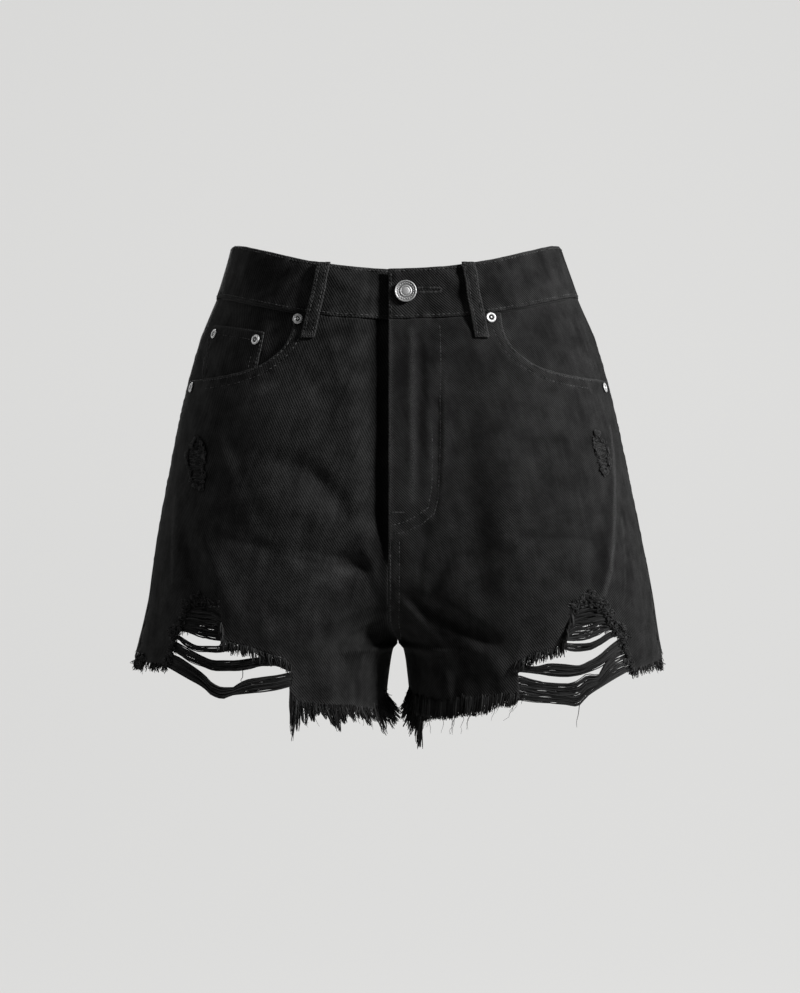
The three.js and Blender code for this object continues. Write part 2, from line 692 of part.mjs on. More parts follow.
// Length of the front locks, by distance from the centre.
const LOCK_REACH = {
  left: table(["x", "long"], [11, 20], [17, 24], [24, 11], [40, 8], [60, 7], [78, 7], [90, 6], [180, 5], [198, 8], [209, 9]),
  right: table(["x", "long"], [11, 19], [17, 21], [28, 13], [45, 16], [60, 12], [70, 14], [74, 19], [79, 30], [176, 5], [209, 10]),
};
const FRINGES = table(
  ["name", "side", "from", "to", "locks"],
  ["inner", "left", 11, TORN.left.from - 3, 30],
  ["outer", "left", TORN.left.to + 3, 209, 9],
  ["inner", "right", 11, TORN.right.from - 3, 30],
  ["outer", "right", TORN.right.to + 4, 209, 9],
);
function frontFringe({ side, from, to, locks }) {
  const at = frontAt(side);
  const shareAt = (x) => {
    let [low, high] = [0, 1];
    for (let i = 0; i < 24; i += 1) {
      const middle = (low + high) / 2;
      if (Math.abs(at(middle, 1).point.x) < x) low = middle;
      else high = middle;
    }
    return low;
  };
  const reach = (share) => along(LOCK_REACH[side], "x", "long", from + (to - from) * share);
  const run = { from: shareAt(from), to: shareAt(to) };
  return fringe({ half: HEADING[side], at, columns: FRONT_COLUMNS, ...run, locks, reach, seed: from });
}
function backFringe(side) {
  const half = HEADING[side];
  const reach = (share) => 4.5 + 5 * share ** 4;
  const run = { from: 0.01, to: 0.985 };
  return fringe({ half, at: backAt(side), columns: BACK_COLUMNS, ...run, locks: 26, reach, seed: half + 40 });
}

// Metal. A profile is [radius, height] pairs from the axis round to the axis again.
function turned(profile, sides) {
  const points = profile.map(([r, h]) => new THREE.Vector2(r, h));
  return new THREE.LatheGeometry(points, sides);
}
const BUTTON = { x: 6, z: -48.5, radius: 8.3 };
const BUTTON_PROFILE = [
  [0, 0],
  [3.4, 0],
  [3.4, 1.6],
  [7.8, 1.9],
  [BUTTON.radius, 2.8],
  [6.9, 3.9],
  [6.1, 3.4],
  [3.6, 3.4],
  [0, 4.1],
];
const RIVET_PROFILE = [[0, 0], [4, 0], [3.6, 1.2], [1.9, 1.3], [1.4, 0.9], [0, 1.7]];
const RIVETS = table(
  ["name", "half", "x", "z", "lift"],
  ["pocket_left_upper", 1, 70.7, -68, 0],
  ["pocket_left_lower", 1, 164.5, -117.5, 0],
  ["pocket_right_upper", -1, 76.2, -68.9, 0],
  ["pocket_right_lower", -1, 164.5, -117.5, 0],
  ["coin_inner", -1, 110.2, -83.3, -CLOTH - GAP],
  ["coin_outer", -1, 146.5, -75, -CLOTH - GAP],
);

function seated(geometry, half, x, z, lift) {
  const { point, normal } = cloth(half, frontU(half, x, z), z);
  const mesh = new THREE.Mesh(geometry);
  mesh.position.copy(point).addScaledVector(normal, lift);
  mesh.quaternion.setFromUnitVectors(new THREE.Vector3(0, 1, 0), normal);
  return mesh;
}

// Colours.
const DENIM = new THREE.MeshStandardMaterial({ color: 0x1d1e1f, roughness: 0.92, metalness: 0 });
const FRAY = new THREE.MeshStandardMaterial({ color: 0x141414, roughness: 1, metalness: 0 });
const STEEL = new THREE.MeshStandardMaterial({ color: 0x9a9a99, roughness: 0.38, metalness: 1 });

const shorts = new THREE.Group();
function add(name, shape, material) {
  const mesh = shape.isMesh ? shape : new THREE.Mesh(shape.isBufferGeometry ? shape : geometryOf(shape));
  mesh.name = name;
  mesh.material = material;
  shorts.add(mesh);
}

add("waistband", waistband(), DENIM);
for (const side of ["left", "right"]) {
  add(`front_panel_${side}`, frontPanel(side), DENIM);
  add(`back_panel_${side}`, backPanel(side), DENIM);
  add(`yoke_${side}`, yoke(side), DENIM);
  add(`pocket_facing_${side}`, pocketFacing(side), DENIM);
  add(`back_pocket_${side}`, backPocket(side), DENIM);
  const loopU = frontU(HEADING[side], LOOP.front, LOOP.level);
  add(`belt_loop_front_${side}`, beltLoop(HEADING[side], loopU, LOOP_SHIFT[side]), DENIM);
  add(`belt_loop_back_${side}`, beltLoop(HEADING[side], LOOP.back), DENIM);
  add(`fringe_back_${side}`, backFringe(side), FRAY);
}
add("belt_loop_centre_back", centreBackLoop(), DENIM);
add("coin_pocket", coinPocket(), DENIM);
for (const f of FRINGES) add(`fringe_front_${f.side}_${f.name}`, frontFringe(f), FRAY);

add("button", seated(turned(BUTTON_PROFILE, 20), 1, BUTTON.x, BUTTON.z, BAND_PROUD + GAP), STEEL);
for (const r of RIVETS) add(`rivet_${r.name}`, seated(turned(RIVET_PROFILE, 10), r.half, r.x, r.z, r.lift + GAP), STEEL);

export default shorts;
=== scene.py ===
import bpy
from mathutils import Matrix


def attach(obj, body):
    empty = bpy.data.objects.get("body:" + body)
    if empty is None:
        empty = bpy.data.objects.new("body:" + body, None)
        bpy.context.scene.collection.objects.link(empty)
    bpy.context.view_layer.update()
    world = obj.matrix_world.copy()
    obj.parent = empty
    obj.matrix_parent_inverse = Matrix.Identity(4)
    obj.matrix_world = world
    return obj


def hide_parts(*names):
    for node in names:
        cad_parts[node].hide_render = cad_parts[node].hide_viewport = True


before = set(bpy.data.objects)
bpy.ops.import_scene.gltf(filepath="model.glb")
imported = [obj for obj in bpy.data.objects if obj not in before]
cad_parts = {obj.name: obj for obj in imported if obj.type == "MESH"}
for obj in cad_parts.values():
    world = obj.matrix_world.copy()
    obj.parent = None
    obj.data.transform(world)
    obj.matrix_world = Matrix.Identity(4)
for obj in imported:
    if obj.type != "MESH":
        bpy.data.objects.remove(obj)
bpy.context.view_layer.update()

# Black denim cut-off shorts, filled out as if worn. Lengths are in millimetres until a mesh is made. The
# cloth is the same surface of horizontal sections as in the CAD, with finer folds. Left and right are the
# wearer's.
import math

import bmesh
import bpy
import numpy as np
from mathutils import Vector
from mathutils.geometry import delaunay_2d_cdt
from mathutils.kdtree import KDTree

rng = np.random.default_rng(7)

# Thickness of the cloth and of the folded waistband, how far the band stands out, and the gap between pieces.
CLOTH = 1.6
BAND = 3.2
BAND_PROUD = 1.0
GAP = 0.3
# The left front laps over the centre and the right one reaches under it. Both fade out further down.
LAP = 7.2
UNDERLAP = 13
FLY_END = -236
FLY_FADE = 20
LAP_FADE = 24
# Heights, from the top of the sides down.
CROTCH = -323
SIDE_HEM = -334
INSEAM_HEM = -369
HEM_LEVEL = -350.0
TOP_LEVEL = -10.0
# How deep the right front and the right end of the band lie under the lap, out to which distance and height.
TUCK = {"panel": 8.6, "band": BAND + 3.4, "from": 7, "to": 38, "ends": -262, "starts": -214}
HEADING = {"left": 1, "right": -1}
# How far before the side the side seam lies at the top, half its gap, both in u, and the least u of an edge
# under the band.
TOP_SEAM, SEAM_HALF, LEAST_U = 0.1, 0.0013, 0.02


def columns(names, *rows):
    """A table as one array for each named column."""
    values = np.array(rows, float).T
    return dict(zip(names.split(), values))


# Horizontal sections: the side's x and y, the front's and back's y with their places as a share of the side,
# the centre front, the inseam's x, the seat's y, the angles of the creases between the legs, how far the side
# seam lies before the side in u, and how far the body leans to the left.
SECTIONS = columns(
    "z side sideY front frontX centre inner back backX seat valley cleft seam lean",
    [10, 130, 2, -96, 0.22, -96, 0.15, 94, 0.24, 94, 0, 0, 0.1, -1.8],
    [0, 133, 2, -96.5, 0.22, -96.5, 0.15, 96, 0.24, 96, 0, 0, 0.1, -1.5],
    [-40, 146.2, 3, -98.5, 0.24, -98, 0.15, 103, 0.28, 103, 0, 0, 0.1, -0.8],
    [-80, 162.6, 4, -103, 0.28, -102, 0.15, 113, 0.34, 112, 0, 0, 0.1, -0.2],
    [-130, 176.2, 5, -109, 0.34, -107, 0.15, 125, 0.42, 122, 4, 8, 0.1, 0],
    [-180, 186.7, 6, -113, 0.4, -110.5, 0.15, 131, 0.48, 126, 8, 16, 0.1, 0.2],
    [-230, 196.6, 6, -114, 0.45, -109, 0.15, 129, 0.51, 117, 16, 28, 0.13, 0.9],
    [-265, 202.8, 6, -112, 0.49, -102, 0.15, 122, 0.52, 100, 28, 42, 0.16, 1.8],
    [-287, 206.3, 6, -109.5, 0.51, -89, 0.15, 117, 0.52, 80, 42, 56, 0.18, 2.2],
    [-304, 209.4, 6, -107, 0.52, -67, 0.15, 112, 0.52, 55, 58, 68, 0.19, 1.8],
    [-315, 211.6, 6, -105, 0.52, -41, 0.15, 109, 0.52, 33, 72, 78, 0.2, 1.3],
    [-321, 212.8, 6, -104, 0.52, -17, 0.15, 107.5, 0.52, 15, 82, 85, 0.2, 1],
    [CROTCH, 213.2, 6, -103.5, 0.52, 1.85, 0.15, 107, 0.52, 2.15, 90, 90, 0.2, 1],
    [-326, 214, 6, -103, 0.52, 1.85, 3.4, 106, 0.52, 2.15, 90, 90, 0.2, 0.8],
    [-345, 217, 6, -100.5, 0.52, 2.85, 7, 101, 0.52, 3.15, 90, 90, 0.19, 0],
    [-372, 219, 6, -98, 0.52, 4.85, 9.2, 96, 0.52, 5.15, 90, 90, 0.19, 0],
    [-400, 221, 6, -96, 0.52, 5.85, 9.2, 92, 0.52, 6.15, 90, 90, 0.19, 0],
)
# The curve handle of a quarter circle, and how it grows at the front's inner corner below the crotch.
ROUND = 0.5523
CORNER = columns(
    "z handle", [-290, ROUND], [-303, 0.5639], [-317, 0.5995], [-331, 0.6462], [-345, 0.6925], [-359, 0.7262],
    [-372, 0.74],
)
# Heights of the waistband's upper edge, by the share of the way out to the side.
BAND_TOP = {
    "front": columns("share z", [0, -30.5], [0.22, -29], [0.45, -24.3], [0.75, -13.2], [0.93, -4.8], [1, -2]),
    "back": columns("share z", [0, -10], [0.5, -8], [1, -2]),
}
# Heights of the band and of the yoke, and the hems.
BAND_HEIGHT = {"front": 38.5, "side": 41.5, "back": 40}
YOKE_HEIGHT = {"side": 27, "back": 58}
FRONT_HEM = {
    "left": columns(
        "x z",
        [9, -369], [17, -377], [33, -372.2], [48, -369], [63, -363.5], [78, -357], [85, -355.5],
        [93, -358.5], [108, -359.8], [123, -361.4], [138, -363.4], [147, -356.6], [155, -352.8],
        [164, -349.2], [173, -345.7], [181, -339], [196, -337], [214, SIDE_HEM],
    ),
    "right": columns(
        "x z",
        [9, -369], [22, -369.6], [38, -366], [53, -363.8], [68, -362.5], [77, -360.6], [81.5, -353.4],
        [84, -348.8], [94, -351.5], [104, -352.9], [124, -354], [134, -358.7], [142, -357], [152, -351],
        [164, -343.3], [174, -336.8], [185, -334.4], [201, -334.8], [214, SIDE_HEM],
    ),
}
BACK_HEM = columns(
    "share z", [0, SIDE_HEM], [0.12, -326], [0.26, -318], [0.42, -315], [0.6, -317], [0.76, -332],
    [0.9, -354], [1, INSEAM_HEM],
)
# Folds: centre, direction from the horizontal in degrees, half length, half width, and height (negative for a
# trough). FOLDS and SEAT_FOLDS are also in the CAD; FINE_FOLDS are finer creases of the same kind.
FOLD = "x z angle long wide high"
FOLDS = {
    "left": columns(
        FOLD,
        [37, -297, -28, 40, 6.5, -4.8], [22, -318, -66, 40, 9, 4.5], [60, -322, -30, 34, 14, 1],
        [56, -228, -82, 66, 14, -2.4], [82, -215, -84, 70, 17, 1.8], [126, -234, -2, 34, 4.5, -1.2],
        [10, -346, 88, 26, 11, -2.6], [112, -168, 6, 34, 5, -0.9], [166, -222, 82, 60, 5, 2.8],
        [150, -250, 84, 44, 9, -2.2], [182, -262, 92, 44, 6, 1.6], [135, -292, 100, 30, 14, -2],
        [10, -128, 90, 62, 3, 1], [15.5, -140, 90, 66, 2.6, -0.8], [24, -150, 92, 50, 3, 0.9],
        [29, -180, 88, 40, 3, -0.8], [36, -150, 90, 46, 4, 0.9], [46, -344, 80, 16, 4, -1.8],
        [78, -342, -70, 20, 6, 1.2],
    ),
    "right": columns(
        FOLD,
        [104, -173, 5, 28, 10, -1.5], [75, -184, 24, 22, 9, -2], [52, -201, 48, 23, 9, -3.4],
        [86, -208, 20, 38, 14, 1.6], [34, -256, 24, 20, 7, -2], [12, -348, 90, 30, 14, 3.2],
        [78, -246, 9, 56, 5.5, -1.6], [56, -266, 22, 36, 13, 2.6], [158, -253, 71, 32, 8.5, -4],
        [174, -214, 84, 40, 8, 1.4], [138, -262, 66, 36, 9, 2], [26, -310, -28, 24, 6, -1.6],
        [36, -294, -32, 30, 12, 1.8], [188, -285, 88, 40, 5, -1.6], [112, -140, 16, 40, 14, 1.2],
        [20, -250, 70, 40, 8, 1.4], [52, -344, 84, 26, 8, 1.8], [36, -348, 82, 22, 6, -1.8],
    ),
}
SEAT_FOLDS = columns(
    FOLD,
    [40, -286, 32, 44, 11, 2.8], [52, -266, 26, 46, 12, -2.4], [120, -292, 12, 50, 12, 2],
    [150, -250, 60, 44, 14, -1.6],
)
FINE_FOLDS = {
    "left": columns(
        FOLD,
        [19, -246, 80, 20, 3.2, -0.7], [33, -262, 62, 24, 4, -0.8], [30, -100, 84, 22, 3.5, 0.6],
        [19, -110, 92, 24, 3, -0.6], [60, -92, 60, 16, 4, 0.6], [120, -128, -18, 26, 5, -0.7],
        [150, -150, -30, 24, 5, 0.7], [176, -200, 86, 34, 4, -0.8], [170, -216, 94, 30, 3.5, 0.8],
        [98, -250, -40, 30, 7, 0.8], [120, -262, -30, 30, 6, -0.8], [52, -330, -70, 26, 5, -0.9],
        [92, -330, 84, 22, 5, 0.7], [104, -60, -20, 14, 5, 0.5], [40, -38, -38, 16, 5, 0.9],
        [24, -62, -70, 12, 3.5, -0.8], [74, -30, 32, 18, 5, -1.2], [88, -38, 26, 20, 4.5, 1.2],
        [104, -26, 22, 20, 5, -1.3], [112, -36, 30, 16, 4, 1.1], [122, -30, 40, 14, 4, -0.9],
        [96, -74, 24, 16, 5, -0.9], [110, -96, -16, 18, 5, -1.1],
    ),
    "right": columns(
        FOLD,
        [18, -262, 70, 24, 4, 0.9], [12, -240, 86, 26, 3, -0.8], [56, -262, 30, 30, 5, -0.9],
        [48, -100, 76, 22, 4, 0.7], [64, -120, 60, 22, 5, -0.7], [104, -132, -14, 26, 5, -0.6],
        [132, -170, 60, 30, 6, 0.8], [118, -190, 66, 34, 6, -0.8], [178, -226, 88, 36, 4, -0.9],
        [110, -236, 40, 34, 7, -0.9], [98, -310, 70, 30, 6, 0.9], [60, -338, 80, 24, 6, 0.8],
        [36, -44, 24, 16, 5, 1.2], [30, -34, -10, 14, 4, -1], [46, -72, -50, 14, 3.5, -1.5],
        [52, -80, -52, 16, 4, 1.2], [60, -92, -46, 12, 3.5, -0.9], [78, -28, -34, 16, 4.5, -1.2],
        [84, -38, -40, 18, 4, 1.4], [98, -40, -30, 18, 5, -1.4], [112, -24, -34, 16, 4, 1.1],
        [104, -80, -80, 14, 5, 1.3], [42, -334, 72, 20, 5, -0.8],
    ),
    "back": columns(
        FOLD,
        [30, -262, 40, 28, 5, 1], [70, -288, 22, 34, 6, -1], [96, -262, 18, 40, 8, 0.9],
        [150, -200, 78, 34, 6, 0.8], [160, -290, 84, 26, 5, -0.9], [40, -122, -20, 24, 5, -0.6],
        [110, -118, -12, 30, 6, 0.6], [86, -302, 8, 36, 5, 0.9], [128, -240, 50, 30, 6, -0.8],
    ),
}
# How much higher the folds stand than their tables say.
GAIN = {"main": 1.4, "fine": 1.5}
# The hand pocket's opening in front view: its centre, half width, drop and how square its curve is.
OPENING = {"x": 160, "z": -60, "width": 81, "drop": 51.5, "power": 2.6, "above": -45}
# The centre line again, without its sharp turn at the crotch: it shapes the front a little away from its
# edge.
CENTRE_SOFT = columns(
    "z y", [-265, -102], [-287, -89], [-304, -67], [-315, -43], [-321, -26], [-327, -13], [-335, -5],
    [-348, 0.6], [-372, 4], [-400, 5.5],
)
EDGE_SHARE = 0.14
# Steps in u and z from which the cloth's normals are taken, and rounds of halving to find a u.
NEAR_U, NEAR_Z, HALVINGS = 0.01, 0.5, 26


def smooth(x, low, high):
    t = np.clip((np.asarray(x, float) - low) / (high - low), 0, 1)
    return t * t * (3 - 2 * t)


def along(xs, ys, at):
    """A smooth line through a table's rows that never overshoots them."""
    xs, ys = np.asarray(xs, float), np.asarray(ys, float)
    if xs[-1] < xs[0]:
        xs, ys = xs[::-1], ys[::-1]
    slope = np.diff(ys) / np.diff(xs)
    tangent = np.concatenate([slope[:1], np.zeros(len(xs) - 2), slope[-1:]])
    a, b = slope[:-1], slope[1:]
    same = a * b > 0
    tangent[1:-1][same] = 2 * a[same] * b[same] / (a[same] + b[same])
    at = np.asarray(at, float)
    i = np.clip(np.searchsorted(xs, at, side="right") - 1, 0, len(xs) - 2)
    span = xs[i + 1] - xs[i]
    t = np.clip((at - xs[i]) / span, 0, 1)
    t2, t3 = t * t, t * t * t
    return (
        (2 * t3 - 3 * t2 + 1) * ys[i]
        + (t3 - 2 * t2 + t) * span * tangent[i]
        + (3 * t2 - 2 * t3) * ys[i + 1]
        + (t3 - t2) * span * tangent[i + 1]
    )


def section(z, column):
    return along(SECTIONS["z"], SECTIONS[column], z)


def front_edge(half, z, inner):
    """How far the centre front edge lies on its own side of the centre."""
    fade = smooth(z, CROTCH, CROTCH + LAP_FADE)
    if half > 0:
        return -LAP * fade + inner * (1 - fade)
    meeting = (LAP + GAP) * fade + inner * (1 - fade)
    under = smooth(z, FLY_END - FLY_FADE, FLY_END)
    return meeting * (1 - under) - UNDERLAP * under


def bezier(t, p0, p1, p2, p3):
    s = 1 - t
    return s**3 * p0 + 3 * s * s * t * p1 + 3 * s * t * t * p2 + t**3 * p3


def ring(half, u, z):
    """The bare section: u is 0 at the centre front or inseam, 2 at the side and 4 at the centre back."""
    u, z = np.broadcast_arrays(np.asarray(u, float), np.asarray(z, float))
    c = {name: section(z, name) for name in SECTIONS if name != "z"}
    side = c["side"] + half * c["lean"]
    ax, ay = front_edge(half, z, c["inner"]), c["centre"]
    bx, by = side * c["frontX"], c["front"]
    cx, cy = side, c["sideY"]
    dx, dy = side * c["backX"], c["back"]
    ex, ey = c["inner"], c["seat"]
    valley, cleft = np.radians(c["valley"]), np.radians(c["cleft"])
    q = np.clip(np.floor(u), 0, 3).astype(int)
    t = np.clip(u - q, 0, 1)
    k, h = ROUND, along(CORNER["z"], CORNER["handle"], z)
    soft = np.where(z > CENTRE_SOFT["z"][0], ay, along(CENTRE_SOFT["z"], CENTRE_SOFT["y"], z))
    xs = [
        bezier(t, ax, ax + h * (bx - ax) * np.cos(valley), bx - h * (bx - ax), bx),
        bezier(t, bx, bx + k * (cx - bx), cx, cx),
        bezier(t, cx, cx, dx - k * (dx - cx), dx),
        bezier(t, dx, dx + k * (ex - dx), ex - k * (ex - dx) * np.cos(cleft), ex),
    ]
    ys = [
        bezier(t, soft, soft + h * (by - soft) * np.sin(valley), by, by)
        + (ay - soft) * (1 - smooth(t, 0, EDGE_SHARE)),
        bezier(t, by, by, cy - k * (cy - by), cy),
        bezier(t, cy, cy + k * (dy - cy), dy, dy),
        bezier(t, dy, dy, ey - k * (ey - dy) * np.sin(cleft), ey),
    ]
    return np.choose(q, xs), np.choose(q, ys)


def fold_height(folds, x, z):
    total = np.zeros(np.shape(x))
    for i in range(len(folds["x"])):
        f = {name: values[i] for name, values in folds.items()}
        a = math.radians(f["angle"])
        dx, dz = x - f["x"], z - f["z"]
        down = (dx * math.cos(a) + dz * math.sin(a)) / f["long"]
        across = (-dx * math.sin(a) + dz * math.cos(a)) / f["wide"]
        total += f["high"] * np.exp(-across * across - down**4)
    return total


def creases(main, fine, x, z):
    return GAIN["main"] * fold_height(main, x, z) + GAIN["fine"] * fold_height(fine, x, z)


def uneven(x, y, z):
    """Low, irregular waves, so that no stretch of cloth is quite smooth."""
    return (
        0.28 * np.sin(x / 17 + z / 41 + 1.3) * np.sin(z / 23 - x / 53)
        + 0.16 * np.sin(x / 9.5 - z / 15 + 0.4) * np.sin(z / 31 + y / 19)
        + 0.08 * np.sin(x / 5.1 + z / 8.3) * np.sin(z / 12.7 - x / 16 + 2)
    )


def cloth_point(half, u, z, depth):
    x, y = ring(half, u, z)
    side = "left" if half > 0 else "right"
    front = 1 - smooth(u, 1.6, 1.85)
    behind = smooth(u, 2.2, 2.5)
    rise = front * creases(FOLDS[side], FINE_FOLDS[side], x, z)
    fall = behind * creases(SEAT_FOLDS, FINE_FOLDS["back"], x, z)
    y = y - rise + fall
    if half < 0:
        near = 1 - smooth(x, TUCK["from"], TUCK["to"])
        y = y + np.where(u < 1.5, depth * near * smooth(z, TUCK["ends"], TUCK["starts"]), 0)
    return np.stack([half * x, y, np.broadcast_to(z, np.shape(x))], -1)


def cloth(half, u, z, depth=TUCK["panel"]):
    """Points of the cloth's outer face and their outward normals."""
    u, z = np.broadcast_arrays(np.asarray(u, float), np.asarray(z, float))
    after = cloth_point(half, np.minimum(4, u + NEAR_U), z, depth)
    across = after - cloth_point(half, np.maximum(0, u - NEAR_U), z, depth)
    up = cloth_point(half, u, z + NEAR_Z, depth) - cloth_point(half, u, z - NEAR_Z, depth)
    normal = np.cross(across, up) * half
    normal /= np.linalg.norm(normal, axis=-1, keepdims=True)
    point = cloth_point(half, u, z, depth)
    point = point + normal * uneven(point[..., 0], point[..., 1], point[..., 2])[..., None]
    return point, normal


def find_u(half, x, z, low, high, heading):
    """The u from low to high where a section reaches x: heading is 1 where x grows with u, or -1."""
    x, z = np.broadcast_arrays(np.asarray(x, float), np.asarray(z, float))
    low, high = np.full(x.shape, low), np.full(x.shape, high)
    for _ in range(HALVINGS):
        middle = (low + high) / 2
        short = heading * (x - ring(half, middle, z)[0]) > 0
        low, high = np.where(short, middle, low), np.where(short, high, middle)
    return (low + high) / 2


def front_u(half, x, z):
    return find_u(half, x, z, 0.0, 2.0, 1)


def back_u(half, x, z):
    return find_u(half, x, z, 2.0, 4.0, -1)


def seam_u(z):
    """The u of the side seam, which lies a little before the side."""
    return 2 - section(z, "seam")


# Arc length along each section, so that panels can be laid out flat. CHUNK points are looked up at a time.
ARC_STEP, ARC_PARTS, CHUNK = 1.5, 240, 20000
ARC_Z = np.arange(-410.0, 12.0, ARC_STEP)
ARC_U = np.linspace(0, 4, ARC_PARTS + 1)
ARC = {}
for _half in (1, -1):
    _x, _y = ring(_half, ARC_U[None, :], ARC_Z[:, None])
    _step = np.hypot(np.diff(_x, axis=1), np.diff(_y, axis=1))
    ARC[_half] = np.concatenate([np.zeros((len(ARC_Z), 1)), np.cumsum(_step, axis=1)], axis=1)
    ARC[_half] -= ARC[_half][:, ARC_PARTS // 2, None]  # measured from the side, where the cut is straight


def arc_rows(half, z):
    i = np.clip(((z - ARC_Z[0]) / ARC_STEP).astype(int), 0, len(ARC_Z) - 2)
    w = np.clip((z - ARC_Z[i]) / ARC_STEP, 0, 1)[:, None]
    return ARC[half][i] * (1 - w) + ARC[half][i + 1] * w


def to_flat(half, u, z):
    """(u, z) to (arc length, z)."""
    u, z = (np.atleast_1d(v).astype(float) for v in np.broadcast_arrays(u, z))
    rows = arc_rows(half, z)
    j = np.clip((u / 4 * ARC_PARTS).astype(int), 0, ARC_PARTS - 1)
    w = u / 4 * ARC_PARTS - j
    n = np.arange(len(u))
    return np.stack([rows[n, j] * (1 - w) + rows[n, j + 1] * w, z], -1)


def from_flat(half, flat):
    """(arc length, z) to u."""
    flat = np.asarray(flat, float)
    out = np.empty(len(flat))
    for start in range(0, len(flat), CHUNK):
        a, z = flat[start:start + CHUNK].T
        rows = arc_rows(half, z)
        j = np.clip((rows < a[:, None]).sum(1) - 1, 0, ARC_PARTS - 1)
        n = np.arange(len(a))
        w = (a - rows[n, j]) / (rows[n, j + 1] - rows[n, j])
        out[start:start + CHUNK] = np.clip((j + w) / ARC_PARTS * 4, 0, 4)
    return out


def placer(half, depth=TUCK["panel"]):
    """A function from flat points to points and normals on the cloth."""

    def place(flat):
        return cloth(half, from_flat(half, flat), np.asarray(flat)[:, 1], depth)

    return place


# Edges of the pieces.
def share_out(u):
    """How far out towards the side u lies, from 0 to 1."""
    return np.clip(ring(1, u, TOP_LEVEL)[0] / ring(1, 2.0, TOP_LEVEL)[0], 0, 1)


def band_top(u):
    front, back = (along(BAND_TOP[k]["share"], BAND_TOP[k]["z"], share_out(u)) for k in ("front", "back"))
    return np.where(np.asarray(u) < 2, front, back)


def band_bottom(u):
    end = np.where(np.asarray(u) < 2, BAND_HEIGHT["front"], BAND_HEIGHT["back"])
    return band_top(u) - end - (BAND_HEIGHT["side"] - end) * share_out(u) ** 2


def yoke_bottom(u):
    return band_bottom(u) - YOKE_HEIGHT["back"] + (YOKE_HEIGHT["back"] - YOKE_HEIGHT["side"]) * share_out(u)


def front_hem(side, u):
    x = np.maximum(FRONT_HEM[side]["x"][0], ring(HEADING[side], u, HEM_LEVEL)[0])
    return along(FRONT_HEM[side]["x"], FRONT_HEM[side]["z"], x)


def back_hem(u):
    share = (u - seam_u(SIDE_HEM)) / (4 - seam_u(SIDE_HEM))
    return along(BACK_HEM["share"], BACK_HEM["z"], share)


# Flat outlines.
def resample(line, step, closed=False):
    """The same line in even steps."""
    line = np.asarray(line, float)
    if closed:
        line = np.vstack([line, line[:1]])
    length = np.concatenate([[0], np.cumsum(np.linalg.norm(np.diff(line, axis=0), axis=1))])
    n = max(2, int(round(length[-1] / step)) + 1)
    at = np.linspace(0, length[-1], n)
    out = np.stack([np.interp(at, length, line[:, k]) for k in range(line.shape[1])], -1)
    return out[:-1] if closed else out


def offset(line, by, closed=False):
    """The line moved to its left (negative: right) by that distance."""
    line = np.asarray(line, float)
    if closed:
        before, after = np.roll(line, 1, axis=0), np.roll(line, -1, axis=0)
    else:
        before = np.vstack([line[:1], line[:-1]])
        after = np.vstack([line[1:], line[-1:]])
    d = after - before
    d /= np.linalg.norm(d, axis=1, keepdims=True) + 1e-9
    return line + by * np.stack([-d[:, 1], d[:, 0]], -1)


def nearest(points, samples):
    """Distance to, and index of, the nearest sample."""
    if not len(samples):
        return np.full(len(points), 1e3), np.zeros(len(points), int)
    tree = KDTree(len(samples))
    for i, (x, y) in enumerate(samples):
        tree.insert((x, y, 0), i)
    tree.balance()
    found = [tree.find((x, y, 0))[1:] for x, y in points]
    index, distance = zip(*found) if found else ((), ())
    return np.array(distance, float), np.array(index, int)


def inside(points, polygon):
    """Which points lie in a polygon."""
    x, y = points[:, 0], points[:, 1]
    hit = np.zeros(len(points), bool)
    for (x0, y0), (x1, y1) in zip(polygon, np.roll(polygon, -1, axis=0)):
        if y0 == y1:
            continue
        cross = ((y0 > y) != (y1 > y)) & (x < (x1 - x0) * (y - y0) / (y1 - y0) + x0)
        hit ^= cross
    return hit


def mesh_from(name, points, faces, material, attributes=None, uv=None):
    """A mesh object from points in millimetres and arrays of faces."""
    mesh = bpy.data.meshes.new(name)
    points = np.asarray(points, float) / 1000
    counts = np.concatenate([np.full(len(f), f.shape[1]) for f in faces])
    loops = np.concatenate([f.ravel() for f in faces])
    mesh.vertices.add(len(points))
    mesh.vertices.foreach_set("co", points.ravel())
    mesh.loops.add(len(loops))
    mesh.loops.foreach_set("vertex_index", loops.astype(np.int32))
    mesh.polygons.add(len(counts))
    starts = np.concatenate([[0], np.cumsum(counts)[:-1]])
    mesh.polygons.foreach_set("loop_start", starts.astype(np.int32))
    mesh.polygons.foreach_set("loop_total", counts.astype(np.int32))
    if uv is not None:
        layer = mesh.uv_layers.new(name="flat")
        layer.data.foreach_set("uv", np.asarray(uv, float)[loops].ravel())
    mesh.update(calc_edges=True)
    mesh.validate()
    for key, values in (attributes or {}).items():
        layer = mesh.attributes.new(key, "FLOAT", "POINT")
        layer.data.foreach_set("value", np.asarray(values, np.float32))
    mesh.polygons.foreach_set("use_smooth", np.full(len(mesh.polygons), True))
    obj = bpy.data.objects.new(name, mesh)
    bpy.context.scene.collection.objects.link(obj)
    mesh.materials.append(material)
    return obj


# Rings of extra points beside an edge, the samples of a stitched row, and how far and high the cloth puckers
# there.
RINGS = (0.45, 1.1, 2.0)
ROW_STEP = 0.8
PUCKER = {"reach": 5.5, "high": 0.34}


